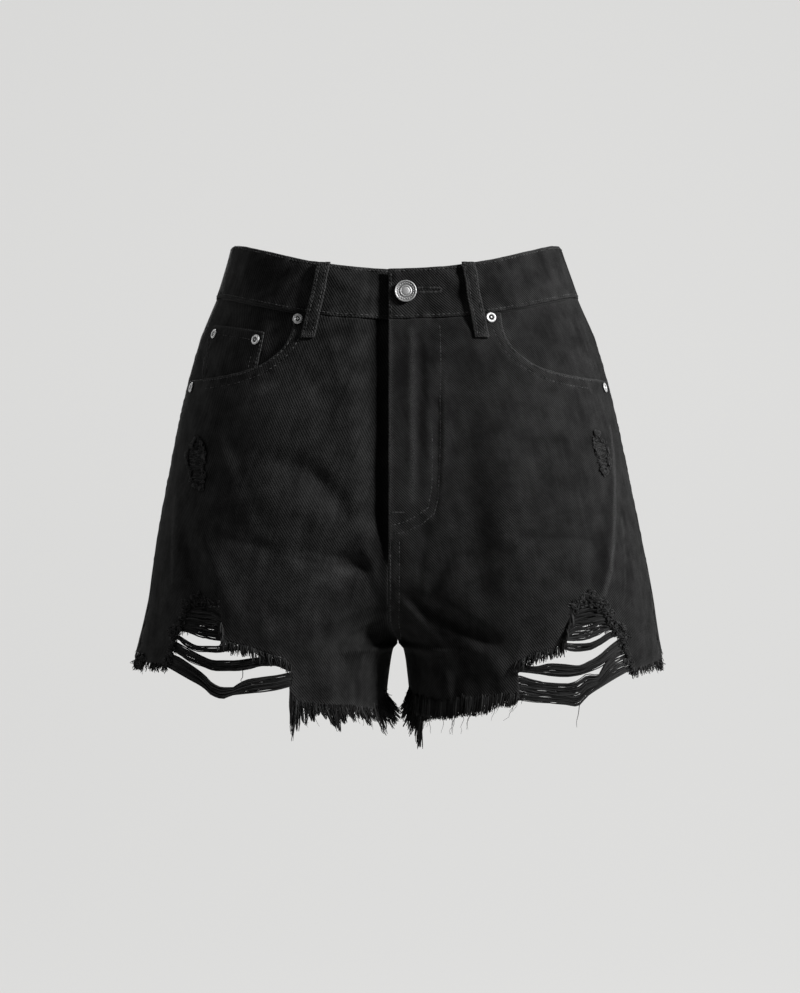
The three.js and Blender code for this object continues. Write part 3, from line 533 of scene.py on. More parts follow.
def shell(name, place, outline, thick=CLOTH, lift=0.0, step=2.6, rows=(), cuts=(), half=1, marks=()):
    """A thin wall of denim. outline is a list of (kind, line) that close on each other, laid out flat: kind
    is seam, fold or raw. cuts are closed (kind, polygon) pairs. rows are lines of stitching, which pucker
    it. marks are (line, width, strength) of rubbed lines, or of painted shade where the strength is negative."""
    sides = [(kind, resample(line, step * (0.55 if kind == "raw" else 0.75))) for kind, line in outline]
    loop = np.vstack([line[:-1] for _, line in sides])
    cuts = [(kind, resample(polygon, step * 0.5, closed=True)) for kind, polygon in cuts]
    polygons = [loop] + [polygon for _, polygon in cuts]
    edges, base = [], 0
    for polygon in polygons:
        edges += [(base + i, base + (i + 1) % len(polygon)) for i in range(len(polygon))]
        base += len(polygon)
    border = np.vstack(polygons)
    extra = []
    for far in RINGS:
        for by in (-far, far):
            moved = np.vstack([offset(polygon, by, True) for polygon in polygons])
            extra.append(moved[nearest(moved, border)[0] > 0.9 * far])
    stitched = [resample(row, 1.5) for row in rows]
    for row in stitched:
        for by in (-1.0, 0, 1.0):
            moved = offset(row, by)
            extra.append(moved[nearest(moved, border)[0] > 0.5])
    fixed = np.vstack([border] + extra)
    low, high = border.min(0), border.max(0)
    xs = np.arange(low[0], high[0], step)
    ys = np.arange(low[1], high[1], step * 0.866)
    gx, gy = np.meshgrid(xs, ys)
    gx = gx + (np.arange(len(ys)) % 2)[:, None] * step / 2
    grid = np.stack([gx.ravel(), gy.ravel()], -1)
    grid = grid[inside(grid, loop)]
    grid = grid[nearest(grid, fixed)[0] > 0.6 * step]
    flat = np.vstack([fixed, grid])
    made = delaunay_2d_cdt([Vector(p) for p in flat], edges, [], 0, 1e-4, False)
    flat = np.array([tuple(p) for p in made[0]])
    triangles = np.array(made[2])
    middle = flat[triangles].mean(1)
    keep = inside(middle, loop)
    for _, polygon in cuts:
        keep &= ~inside(middle, polygon)
    triangles = triangles[keep]
    a, b, c = (flat[triangles[:, k]] for k in range(3))
    area = (b[:, 0] - a[:, 0]) * (c[:, 1] - a[:, 1]) - (b[:, 1] - a[:, 1]) * (c[:, 0] - a[:, 0])
    triangles = triangles[np.abs(area) > 1e-6]
    area = area[np.abs(area) > 1e-6]
    triangles[area < 0] = triangles[area < 0][:, ::-1]
    used = np.unique(triangles)
    renumber = np.zeros(len(flat), int)
    renumber[used] = np.arange(len(used))
    flat, triangles = flat[used], renumber[triangles]
    directed = np.vstack([triangles[:, [0, 1]], triangles[:, [1, 2]], triangles[:, [2, 0]]])
    key = directed[:, 0] * len(flat) + directed[:, 1]
    back_key = directed[:, 1] * len(flat) + directed[:, 0]
    rim = directed[~np.isin(key, back_key)]
    rim_points = flat[np.unique(rim)]
    kinds = {"seam": [], "fold": [], "raw": []}
    for kind, line in sides + cuts:
        kinds[kind].append(resample(line, 1.0))
    gap = {}
    for kind, lines in kinds.items():
        samples = np.vstack(lines) if lines else np.zeros((0, 2))
        if len(samples):
            samples = samples[nearest(samples, rim_points)[0] < 1.5]
        gap[kind] = nearest(flat, samples)[0]
    edge = np.minimum(np.minimum(gap["seam"], gap["fold"]), gap["raw"])
    sewn = [resample(row, ROW_STEP) for row in stitched]
    row_samples = np.vstack(sewn) if sewn else np.zeros((0, 2))
    row_place = [np.arange(len(row)) * ROW_STEP + 31.7 * i for i, row in enumerate(sewn)]
    row_place = np.concatenate(row_place) if sewn else np.zeros(1)
    to_row, row_index = nearest(flat, row_samples)
    s = row_place[row_index]
    wave = np.sin(s / 1.45 + 0.9 * np.sin(s / 5.3)) * (0.6 + 0.4 * np.sin(s / 11.0 + 1))
    wave2 = np.sin(s / 2.6 + 1.7 * np.sin(s / 13.0))
    pucker = PUCKER["high"] * (0.6 * wave + 0.7 * wave2) * np.exp(-((to_row / PUCKER["reach"]) ** 2))
    groove = -0.42 * np.exp(-((to_row / 0.8) ** 2))
    r = np.clip(edge / (0.55 * thick + 0.35), 0, 1)
    roll = thick * 0.5 * (1 - np.sqrt(1 - (1 - r) ** 2)) * 0.86
    point, normal = place(flat)
    if callable(lift):
        lift = lift(flat)
    outer = point + normal * (lift - roll + groove + pucker)[:, None]
    inner = point + normal * (lift - thick + roll + pucker)[:, None]
    # The flat layout of the right half is mirrored, so its faces turn the other way.
    n, way = len(flat), half
    first, last = (rim[:, 1], rim[:, 0]) if half > 0 else (rim[:, 0], rim[:, 1])
    faces = np.vstack([triangles[:, ::way], triangles[:, ::-way] + n])
    walls = np.stack([first, last, last + n, first + n], -1)
    wear = np.exp(-((gap["fold"] / 1.3) ** 2)) + 0.35 * np.exp(-((gap["seam"] / 1.2) ** 2))
    wear = 0.8 * wear + 0.25 * np.exp(-((to_row / 1.6) ** 2)) * (0.5 + 0.5 * wave2)
    raw = np.exp(-gap["raw"] / 2.5)
    # Painted shade: marks with a negative strength darken the cloth along their lines.
    dark = np.zeros(len(flat))
    for line, width, strength in marks:
        near = np.exp(-((nearest(flat, resample(line, 1.0))[0] / width) ** 2))
        if strength > 0:
            wear = wear + strength * near
        else:
            dark = np.maximum(dark, -strength * near)
    obj = mesh_from(
        name,
        np.vstack([outer, inner]),
        [faces, walls],
        DENIM,
        {"wear": np.tile(wear, 2), "raw": np.tile(raw, 2), "dark": np.tile(dark, 2)},
        np.vstack([flat * [half, 1], flat * [half, 1]]),
    )
    obj["flat_area"] = float(np.abs(area).sum() / 2)
    obj["flat_size"] = [float(v) for v in np.ptp(flat, axis=0)]
    return obj


# Threads and stitches.
def tubes(paths, radii, sides=4):
    """Round threads: paths is (n, m, 3), radii (n, m). Gives points and quads, ends closed."""
    paths, radii = np.asarray(paths, float), np.asarray(radii, float)
    n, m, _ = paths.shape
    tangent = np.gradient(paths, axis=1)
    tangent /= np.linalg.norm(tangent, axis=-1, keepdims=True) + 1e-9
    mean = tangent.mean(1)
    reference = np.zeros((n, 3))
    reference[np.arange(n), np.abs(mean).argmin(1)] = 1
    a = np.cross(tangent, reference[:, None, :])
    a /= np.linalg.norm(a, axis=-1, keepdims=True) + 1e-9
    b = np.cross(tangent, a)
    turn = np.arange(sides) * 2 * math.pi / sides
    round_ = a[:, :, None, :] * np.cos(turn)[:, None] + b[:, :, None, :] * np.sin(turn)[:, None]
    points = paths[:, :, None, :] + round_ * radii[:, :, None, None]
    index = np.arange(n * m * sides).reshape(n, m, sides)
    following = np.roll(index, -1, axis=2)
    quads = np.stack([index[:, :-1], following[:, :-1], following[:, 1:], index[:, 1:]], -1).reshape(-1, 4)
    caps = np.vstack([index[:, 0, ::-1], index[:, -1, :]])
    return points.reshape(-1, 3), quads, caps


class Threads:
    """Gathers threads into one mesh."""

    def __init__(self):
        self.points, self.quads, self.caps, self.tint, self.count = [], [], [], [], 0

    def add(self, paths, radii, sides=4, tint=None):
        points, quads, caps = tubes(paths, radii, sides)
        n, m = np.shape(radii)
        tint = rng.random(n) if tint is None else np.broadcast_to(tint, (n,))
        self.points.append(points)
        self.quads.append(quads + self.count)
        self.caps.append(caps + self.count)
        self.tint.append(np.repeat(tint, m * sides))
        self.count += len(points)

    def mesh(self, name, material):
        tint = {"tint": np.concatenate(self.tint)}
        return mesh_from(name, np.vstack(self.points), self.quads + self.caps, material, tint)


STITCH = {"pitch": 3.3, "long": 2.2, "radius": 0.33}


def stitch(threads, place, line, lift=0.0, pitch=STITCH["pitch"], radius=STITCH["radius"]):
    """A row of stitches along a flat line. Each goes down into the cloth at both ends."""
    line = resample(line, 0.5)
    length = np.concatenate([[0], np.cumsum(np.linalg.norm(np.diff(line, axis=0), axis=1))])
    n = max(1, int(length[-1] / pitch))
    centre = (np.arange(n) + 0.5) * length[-1] / n
    share = np.array([-0.5, -0.36, 0, 0.36, 0.5]) * STITCH["long"] * pitch / STITCH["pitch"]
    at = np.clip(centre[:, None] + share[None, :], 0, length[-1])
    flat = np.stack([np.interp(at, length, line[:, k]) for k in (0, 1)], -1).reshape(-1, 2)
    point, normal = place(flat)
    rise = np.tile(np.array([-0.5, -0.02, 0.1, -0.02, -0.5]) * radius / 0.3, n) + lift
    paths = (point + normal * rise[:, None]).reshape(n, 5, 3)
    radii = np.tile(np.array([0.55, 0.95, 1, 0.95, 0.55]) * radius, (n, 1))
    threads.add(paths, radii, sides=6)


# Materials.
class Graph:
    """Short words for building a node tree."""

    def __init__(self, name):
        self.material = bpy.data.materials.new(name)
        self.material.use_nodes = True
        self.tree = self.material.node_tree
        self.shader = self.tree.nodes["Principled BSDF"]

    def put(self, target, value):
        if isinstance(value, bpy.types.NodeSocket):
            self.tree.links.new(value, target)
        else:
            target.default_value = value

    def node(self, kind, settings=None, **inputs):
        node = self.tree.nodes.new(kind)
        for key, value in (settings or {}).items():
            setattr(node, key, value)
        for key, value in inputs.items():
            self.put(node.inputs[key.replace("_", " ")], value)
        return node

    def math(self, operation, *values):
        node = self.tree.nodes.new("ShaderNodeMath")
        node.operation = operation
        for socket, value in zip(node.inputs, values):
            self.put(socket, value)
        return node.outputs[0]

    def add(self, a, b):
        return self.math("ADD", a, b)

    def times(self, a, b):
        return self.math("MULTIPLY", a, b)

    def noise(self, vector, scale, detail=2.0, roughness=0.5):
        sizes = {"Scale": scale, "Detail": detail, "Roughness": roughness}
        return self.node("ShaderNodeTexNoise", Vector=vector, **sizes).outputs["Fac"]

    def attribute(self, name):
        return self.node("ShaderNodeAttribute", {"attribute_name": name}).outputs["Fac"]

    def ramp(self, value, low, high, low_out=0.0, high_out=1.0):
        node = self.tree.nodes.new("ShaderNodeMapRange")
        for i, v in enumerate((value, low, high, low_out, high_out)):
            self.put(node.inputs[i], v)
        return node.outputs[0]

    def mix(self, share, a, b):
        node = self.tree.nodes.new("ShaderNodeMix")
        node.data_type = "RGBA"
        self.put(node.inputs["Factor"], share)
        self.put(node.inputs["A"], a)
        self.put(node.inputs["B"], b)
        return node.outputs["Result"]

    def scaled(self, vector, by, turn=0.0):
        node = self.node("ShaderNodeMapping", Vector=vector)
        node.inputs["Scale"].default_value = by
        node.inputs["Rotation"].default_value = (0, 0, math.radians(turn))
        return node.outputs[0]

    def bump(self, height, distance, strength=1.0, normal=None):
        node = self.tree.nodes.new("ShaderNodeBump")
        self.put(node.inputs["Height"], height)
        self.put(node.inputs["Distance"], distance)
        self.put(node.inputs["Strength"], strength)
        if normal is not None:
            self.put(node.inputs["Normal"], normal)
        return node.outputs[0]


def grey(value):
    return (value, value, value, 1)


# The ribs' turn in radians for each millimetre, how much fainter they are painted on the right half, which
# faces away from the key light (painted shade), and the half width of the change in metres.
RIBS = {"across": 3.05, "down": 2.45, "faint": 0.55, "change": 0.03}


def denim(name, dark, light, worn):
    """Black twill: fine diagonal ribs, cloudy washing, paler rubbed edges, and painted shade where the
    cloth's dark attribute says.
    """
    g = Graph(name)
    flat = g.node("ShaderNodeUVMap", {"uv_map": "flat"}).outputs[0]
    place = g.node("ShaderNodeTexCoord").outputs["Object"]
    xyz = g.node("ShaderNodeSeparateXYZ", Vector=flat)
    wobble = g.times(g.math("SUBTRACT", g.noise(g.scaled(flat, (0.35, 0.35, 1)), 1.0), 0.5), 1.6)
    along_rib = g.add(g.times(xyz.outputs["X"], RIBS["across"]), g.times(xyz.outputs["Y"], RIBS["down"]))
    rib = g.math("SINE", g.add(along_rib, wobble))
    rib = g.add(g.times(rib, 0.5), 0.5)
    yarn = g.noise(g.scaled(flat, (1.9, 0.8, 1)), 1.0, 3.0, 0.7)
    speck = g.noise(g.scaled(flat, (1.3, 0.9, 1)), 1.0, 2.0, 0.6)
    cloud = g.noise(place, 17.0, 5.0, 0.62)
    mottle = g.noise(place, 70.0, 3.0, 0.65)
    streak = g.noise(g.scaled(flat, (0.22, 0.025, 1)), 1.0, 3.0, 0.6)
    wash = g.add(g.times(g.ramp(cloud, 0.3, 0.72), 0.34), g.times(g.ramp(mottle, 0.3, 0.7), 0.42))
    wash = g.add(wash, g.times(g.ramp(streak, 0.35, 0.68), 0.18))
    ribbed = g.times(g.math("POWER", rib, 2.6), g.ramp(yarn, 0.3, 0.7, 0.55, 1.0))
    # Painted light: the ribs are crisp on the left half, which faces the key light, and painted fainter on
    # the right half, which lies in shade.
    sideways = g.node("ShaderNodeSeparateXYZ", Vector=place).outputs["X"]
    ribs_lit_half = g.ramp(sideways, -RIBS["change"], RIBS["change"], RIBS["faint"], 1.0)
    ribbed = g.add(g.times(ribbed, ribs_lit_half), g.times(g.math("SUBTRACT", 1.0, ribs_lit_half), 0.3))
    share = g.times(ribbed, g.ramp(wash, 0.1, 0.9, 0.25, 1.3))
    share = g.add(share, g.times(g.ramp(wash, 0.25, 1.0), 0.26))
    colour = g.mix(share, grey(dark), grey(light))
    flecks = g.times(g.ramp(speck, 0.62, 0.74), 0.2)
    colour = g.mix(flecks, colour, grey(light * 1.2))
    rub = g.times(g.attribute("wear"), g.ramp(speck, 0.38, 0.62, 0.05, 0.8))
    colour = g.mix(g.math("MINIMUM", rub, 0.7), colour, grey(worn))
    fray = g.times(g.attribute("raw"), g.ramp(yarn, 0.35, 0.65, 0.05, 0.6))
    colour = g.mix(g.math("MINIMUM", fray, 0.5), colour, grey(worn * 0.7))
    # Painted shade: darker where the dark attribute says, in creases, seams, holes and the lap's shadow.
    colour = g.mix(g.attribute("dark"), colour, grey(dark * 0.4))
    g.put(g.shader.inputs["Base Color"], colour)
    g.put(g.shader.inputs["Roughness"], g.ramp(yarn, 0.2, 0.8, 0.75, 0.95))
    g.put(g.shader.inputs["Specular IOR Level"], 0.03)
    coarse = g.bump(mottle, 0.0016, 0.6)
    fine = g.bump(yarn, 0.0004, 0.8, coarse)
    g.put(g.shader.inputs["Normal"], g.bump(rib, 0.0003, 0.8, fine))
    return g.material


def threads_of(name, dark, light):
    """Cotton thread: tone differs from one to the next, with a fine ply."""
    g = Graph(name)
    place = g.node("ShaderNodeTexCoord").outputs["Object"]
    ply = g.noise(place, 2600.0, 2.0, 0.6)
    tint = g.attribute("tint")
    share = g.times(tint, g.ramp(ply, 0.3, 0.7, 0.5, 1.0))
    g.put(g.shader.inputs["Base Color"], g.mix(share, grey(dark), grey(light)))
    g.put(g.shader.inputs["Roughness"], g.ramp(ply, 0.2, 0.8, 0.6, 0.85))
    g.put(g.shader.inputs["Specular IOR Level"], 0.06)
    g.put(g.shader.inputs["Normal"], g.bump(ply, 0.0002, 0.6))
    return g.material


def metal(name, tone, rough, scratch):
    """Brushed metal, darkened in its recesses: tarnish there, and painted shade."""
    g = Graph(name)
    place = g.node("ShaderNodeTexCoord").outputs["Object"]
    worn = g.noise(place, 700.0, 4.0, 0.65)
    fine = g.noise(g.scaled(place, (3200, 900, 3200)), 1.0, 2.0, 0.6)
    colour = g.mix(g.ramp(worn, 0.35, 0.7), grey(tone), grey(tone * 0.7))
    # Tarnish and painted shade: darker in the hollows and underneath, as the lathe profile says.
    g.put(g.shader.inputs["Base Color"], g.mix(g.attribute("dark"), colour, grey(tone * 0.05)))
    g.put(g.shader.inputs["Metallic"], 1.0)
    g.put(g.shader.inputs["Roughness"], g.ramp(worn, 0.3, 0.75, rough, rough + 0.25))
    g.put(g.shader.inputs["Normal"], g.bump(fine, 0.00012, scratch))
    return g.material


def plain(name, value):
    g = Graph(name)
    g.put(g.shader.inputs["Base Color"], grey(value))
    g.put(g.shader.inputs["Roughness"], 0.9)
    g.put(g.shader.inputs["Specular IOR Level"], 0.2)
    return g.material


DENIM = denim("denim", 0.004, 0.034, 0.06)
STITCHING = threads_of("stitching", 0.012, 0.075)
YARN = threads_of("yarn", 0.003, 0.045)
STEEL = metal("steel", 0.5, 0.46, 0.5)

# The torn holes of the fronts, in front view. They run down past the hem.
TORN = {
    "left": [
        (93, -378), (93, -357.6), (92.1, -346.8), (91.3, -337.6), (89.8, -330), (98.7, -325.2),
        (107.7, -322.1), (116.8, -319.8), (124.6, -317.7), (125.9, -309.9), (128.2, -302.3),
        (132.8, -291.8), (135.9, -285), (144.5, -282.1), (154.1, -283.1), (159, -289.4), (160.7, -297.1),
        (165.8, -305.1), (170.9, -311.5), (174.5, -321.1), (178, -329.2), (181.5, -337.2), (181.5, -378),
    ],
    "right": [
        (82.3, -378), (82.3, -350.3), (80.7, -341.1), (81.4, -331.7), (87.3, -326.9), (95.5, -324.5),
        (103, -322.1), (112, -318.2), (122.7, -316), (132.8, -313.9), (133.5, -307.1), (134.3, -296.4),
        (137.4, -286.6), (144.7, -283), (154.3, -282.5), (161.6, -285.8), (164.1, -292.8), (168.4, -305.4),
        (172, -314.9), (174.6, -324.4), (178, -337), (178, -378),
    ],
}


def flat_front(half, xz):
    """A line seen from the front, laid out flat."""
    x, z = np.asarray(xz, float).T
    return to_flat(half, front_u(half, x, z), z)


def flat_back(half, xz):
    """A line seen from behind, laid out flat."""
    x, z = np.asarray(xz, float).T
    return to_flat(half, back_u(half, x, z), z)


def pocket_edge(half, margin=0.0):
    """The hand pocket's opening from the waistband round to the side seam, laid out flat."""
    t = np.linspace(0, math.pi / 2, 40)
    c, s = (np.maximum(f(t), 0) ** (2 / OPENING["power"]) for f in (np.cos, np.sin))
    x = OPENING["x"] - (OPENING["width"] + margin) * c
    z = OPENING["z"] - (OPENING["drop"] + margin) * s
    x = np.concatenate([[x[0]] * 6, x])
    z = np.concatenate([np.linspace(OPENING["above"], OPENING["z"], 6, endpoint=False), z])
    last = to_flat(half, np.array([2 - TOP_SEAM]), z[-1:])
    out = np.vstack([to_flat(half, front_u(half, x, z), z), last])
    top = band_bottom(np.maximum(from_flat(half, out), LEAST_U)) - GAP
    return out[out[:, 1] < top]


def front_outline(side):
    half = HEADING[side]
    pocket = pocket_edge(half)
    start_u = from_flat(half, pocket[:1])[0]
    us = np.linspace(0, start_u, 60)
    top = to_flat(half, us, band_bottom(np.maximum(us, LEAST_U)) - GAP)
    zs = np.linspace(pocket[-1, 1], SIDE_HEM, 80)
    seam = to_flat(half, seam_u(zs) - SEAM_HALF, zs)
    pocket[-1] = seam[0]
    hem_u = np.linspace(seam_u(SIDE_HEM) - SEAM_HALF, 0, 220)
    hem = to_flat(half, hem_u, front_hem(side, hem_u))
    hem[0] = seam[-1]
    zs = np.linspace(hem[-1, 1], top[0, 1], 120)
    centre = to_flat(half, np.zeros(120), zs)
    centre[0], centre[-1] = hem[-1], top[0]
    return {"seam_top": top, "fold_pocket": pocket, "seam_side": seam, "raw_hem": hem, "fold_centre": centre}


# The two rows of the fly's J stitching, in front view.
FLY_J = [
    (31.6, -74), (31.8, -131), (31.6, -177), (30.2, -206), (27.2, -217.4), (18.2, -225), (7, -230.5),
    (-4, -233),
]
FLY_INNER = [(25.4, -150), (25.6, -197), (22.7, -212.9), (13.7, -219), (5.4, -223.4), (-4, -226)]
# Pieces of cloth by name, each with the nodes it replaces, and all their stitches, which sink in a little.
PIECES = {}
SEWN = Threads()
SUNK = 0.12

# Rubbed lines, which are wear, and dark ones, which are painted shade in the troughs of creases and a painted
# shadow of the fly's lap, seen from the front: line, half width, strength (negative for painted shade).
WEAR_AND_PAINTED_SHADE = {
    "left": [
        ([(168, -150), (169.5, -179), (167.5, -217), (163, -261), (156.5, -281)], 1.6, 0.8),
        ([(10, -78), (9.5, -130), (10.5, -207)], 2.4, 0.5),
        ([(34.5, -100), (35, -170), (33, -206)], 1.6, 0.3),
        ([(23, -140), (24, -185)], 2.0, 0.25),
        ([(-6, -70), (-6, -150), (-5, -236)], 1.2, 0.4),
        ([(175, -221), (174, -290)], 0.9, 0.35),
        # Painted shade: this and the next line are dark lines in the troughs of creases.
        ([(90, -161), (128, -160)], 2.2, -0.25),
        ([(92, -233), (150, -236)], 2.2, -0.35),
        ([(15, -296), (30, -311), (38, -324), (45, -340)], 3.0, 0.35),
        ([(22, -262), (21, -285)], 2.0, 0.25),
    ],
    "right": [
        ([(176, -205), (175, -270)], 1.6, 0.4),
        ([(96, -121), (104, -123)], 4.5, 0.55),
        ([(60, -118), (62, -123)], 3.0, 0.25),
        # Painted shade along the trough of a crease.
        ([(140, -229), (80, -249), (18, -260)], 1.6, -0.3),
        ([(86, -196), (110, -202), (150, -207)], 5.0, 0.2),
        ([(40, -262), (74, -272)], 5.0, 0.25),
        # Painted shade in a crease near the crotch.
        ([(34, -309), (12, -300)], 1.8, -0.5),
        # Painted shadow that the fly's lap casts on the right front.
        ([(14, -47), (14, -150), (13, -215), (10, -290)], 5.5, -0.8),
    ],
}


def make_front(side):
    half = HEADING[side]
    place = placer(half)
    lines = front_outline(side)
    outline = [(key.split("_")[0], line) for key, line in lines.items()]
    torn = resample(flat_front(half, TORN[side]), 1.6, closed=True)
    torn = torn + rng.normal(0, 0.35, torn.shape)
    pocket = lines["fold_pocket"]
    rows = [offset(pocket, -1.9)[1:-2], offset(pocket, -8.4)[2:-3]]
    if half > 0:
        rows += [flat_front(half, FLY_J), flat_front(half, FLY_INNER)]
        zs = np.linspace(-238, -318, 40)
        for away in (1.6, 8.2):
            rows.append(to_flat(half, np.zeros(40), zs) + [away, 0])
    name = f"front_{side}"
    ridge = offset(lines["seam_side"], -2.2)[2:-2]
    marks = [(flat_front(half, line), width, strength) for line, width, strength in WEAR_AND_PAINTED_SHADE[side]]
    # Painted shade: a dark ring round the worn oval, where its holes lie in shade.
    marks += [(flat_front(half, worn_oval(WEFT_PATCHES[side])), 2.2, -0.75)]
    # Painted shade along the side seam's groove, and a rubbed ridge of wear beside it.
    marks += [(lines["seam_side"], 1.0, -0.7), (offset(lines["seam_side"], -2.6)[2:-2], 1.3, 0.5)]
    obj = shell(name, place, outline, rows=rows + [ridge], cuts=[("raw", torn)], half=half, marks=marks)
    for row in rows:
        stitch(SEWN, place, row, -SUNK)
    PIECES[name] = (obj, [f"front_panel_{side}"])


def make_back(side):
    half = HEADING[side]
    place = placer(half)
    us = np.linspace(seam_u(-100) + SEAM_HALF, 4, 90)
    top = to_flat(half, us, yoke_bottom(us) - GAP)
    zs = np.linspace(top[-1, 1], INSEAM_HEM, 110)
    centre = to_flat(half, np.full(110, 4.0), zs)
    hem_u = np.linspace(4, seam_u(SIDE_HEM) + SEAM_HALF, 200)
    hem = to_flat(half, hem_u, back_hem(hem_u))
    zs = np.linspace(SIDE_HEM, top[0, 1], 100)
    side_line = to_flat(half, seam_u(zs) + SEAM_HALF, zs)
    centre[-1], side_line[0], side_line[-1] = hem[0], hem[-1], top[0]
    outline = [("seam", top), ("seam", centre), ("raw", hem), ("seam", side_line)]
    rows = [offset(top, -1.8)[1:-1], offset(top, -8)[2:-2]]
    if half > 0:
        rows += [offset(centre, -1.8)[2:90], offset(centre, -8)[3:88]]
    name = f"back_{side}"
    ridge = offset(side_line, -2.2)[2:-2]
    # Painted shade along the side seam's groove, and a rubbed ridge of wear beside it.
    marks = [(side_line, 1.5, -0.85), (offset(side_line, -3.2)[2:-2], 1.2, 0.25)]
    obj = shell(name, place, outline, rows=rows + [ridge], step=3.0, half=half, marks=marks)
    for row in rows:
        stitch(SEWN, place, row, -SUNK)
    PIECES[name] = (obj, [f"back_panel_{side}"])


def make_yoke(side):
    half = HEADING[side]
    place = placer(half)
    us = np.linspace(seam_u(-80) + SEAM_HALF, 4, 80)
    top = to_flat(half, us, band_bottom(us) - GAP)
    bottom = to_flat(half, us[::-1], yoke_bottom(us[::-1]))
    ends = [np.linspace(top[-1], bottom[0], 30), np.linspace(bottom[-1], top[0], 20)]
    outline = [("seam", top), ("seam", ends[0]), ("seam", bottom), ("seam", ends[1])]
    name = f"yoke_{side}_cloth"
    PIECES[name] = (shell(name, place, outline, step=3.0, half=half), [f"yoke_{side}"])


# The waistband in one length: 0 to 4 round the wearer's left half, and back to 8 round the right.
def band_place(flat):
    flat = np.asarray(flat, float)
    whole = float(ARC_BAND[-1])
    left = flat[:, 0] < ARC_BAND[ARC_PARTS]
    point, normal = np.empty((len(flat), 3)), np.empty((len(flat), 3))
    for half, chosen in ((1, left), (-1, ~left)):
        if chosen.any():
            a = flat[chosen, 0] if half > 0 else whole - flat[chosen, 0]
            u = np.interp(a, ARC_HALF[half], ARC_U)
            point[chosen], normal[chosen] = cloth(half, u, flat[chosen, 1], TUCK["band"])
    return point, normal


ARC_HALF = {half: arc_rows(half, np.array([-30.0]))[0] for half in (1, -1)}
ARC_HALF = {half: row - row[0] for half, row in ARC_HALF.items()}
ARC_BAND = np.concatenate([ARC_HALF[1], ARC_HALF[1][-1] + ARC_HALF[-1][-1] - ARC_HALF[-1][::-1][1:]])


def make_waistband():
    u = np.concatenate([ARC_U, ARC_U[::-1][1:]])
    top = np.stack([ARC_BAND, band_top(u)], -1)
    bottom = np.stack([ARC_BAND, band_bottom(u)], -1)[::-1]
    ends = [np.linspace(top[-1], bottom[0], 24), np.linspace(bottom[-1], top[0], 24)]
    outline = [("fold", top), ("fold", ends[0]), ("seam", bottom), ("fold", ends[1])]
    rows = [offset(top, -2.1)[3:-3], offset(bottom, -2.1)[3:-3], offset(ends[1], -1.9)[2:-2]]
    obj = shell("waistband_cloth", band_place, outline, thick=BAND, lift=BAND_PROUD, rows=rows, step=2.8)
    for row in rows:
        stitch(SEWN, band_place, row, BAND_PROUD - SUNK)
    PIECES["waistband_cloth"] = (obj, ["waistband"])


# How deep the facing lies behind the pocket's mouth.
FACING_DROP = {"left": 2.1, "right": 3.6}


def make_facing(side):
    """The denim seen inside the hand pocket's opening, reaching a little under the front panel."""
    half = HEADING[side]
    edge = pocket_edge(half, 11.5)
    us = np.linspace(from_flat(half, edge[:1])[0], 1.9987 - TOP_SEAM, 40)
    top = to_flat(half, us, band_bottom(us) - GAP)
    zs = np.linspace(edge[-1, 1], top[-1, 1], 40)
    seam = to_flat(half, seam_u(zs) - SEAM_HALF, zs)
    edge[-1], edge[0], seam[-1] = seam[0], top[0], top[-1]
    outline = [("seam", top), ("seam", seam[::-1]), ("seam", edge[::-1])]
    name = f"facing_{side}"

    def sunk(flat):
        """Level with the panels at the side seam, and deeper towards the pocket's mouth."""
        return -FACING_DROP[side] * (1 - smooth(from_flat(half, flat), 1.62, 1.88))

    obj = shell(name, placer(half), outline, thick=CLOTH - 0.2, lift=sunk, step=3, half=half)
    PIECES[name] = (obj, [f"pocket_facing_{side}"])


# Corners of the patches, from their open side on: the coin pocket in front view, the back pocket from behind.
COIN = [(103.5, -77.5), (148, -67), (156, -80), (157.5, -119), (112, -119)]
BACK_POCKET = [(31, -133), (141, -124), (136, -226), (88, -251), (37, -236)]


def patch(name, half, corners, flatten, lift, thick, nodes, open_top):
    """A patch sewn on or under a panel: its first side is the hemmed mouth."""
    place = placer(half)
    line = flatten(half, resample(np.array(corners + corners[:1]), 2.0))
    outline = []
    flat_corners = flatten(half, corners + corners[:1])
    for k in range(len(corners)):
        ends = np.array([corners[k], (corners + corners[:1])[k + 1]], float)
        side_line = flatten(half, resample(ends, 2.0))
        side_line[0], side_line[-1] = flat_corners[k], flat_corners[k + 1]
        outline.append(("fold", side_line))
    turn = np.sum(line[:-1, 0] * np.roll(line[:-1, 1], -1) - np.roll(line[:-1, 0], -1) * line[:-1, 1])
    inward = 1 if turn > 0 else -1
    around = np.vstack([o[1][:-1] for o in outline[1:]] + [outline[-1][1][-1:]])
    rows = [offset(around, inward * 1.7)[1:-1], offset(outline[0][1], inward * open_top)[1:-1]]
    rows.append(offset(around, inward * 7.6)[5:-5])
    obj = shell(name, place, outline, thick=thick, lift=lift, rows=rows, step=2.8, half=half)
    for row in rows:
        stitch(SEWN, place, row, lift - SUNK)
    PIECES[name] = (obj, nodes)


# Belt loops: above and below are measured from the band's edges; front is an x and back a u.
LOOP = {"wide": 10, "thick": 1.8, "slack": 2.2, "above": 0.6, "below": 18.5, "level": -40, "front": 56,
        "back": 2.62}
# How far two loops lean: sideways shift at the top and at the foot. Then how far a loop stands off the band.
LOOP_SHIFT = {"loop_front_left": (0, -4.8), "loop_front_right": (2.7, 0)}
LOOP_LIFT = columns("share lift", [0, 0.1], [0.12, 0.85], [0.35, 1], [0.62, 0.75], [0.74, 0.35], [1, 0])


def loop_lift(t):
    on_band = BAND_PROUD + GAP + LOOP["slack"] * along(LOOP_LIFT["share"], LOOP_LIFT["lift"], t)
    landing = smooth(t, 0.74, 0.95)
    return on_band * (1 - landing) + GAP * landing + LOOP["thick"]


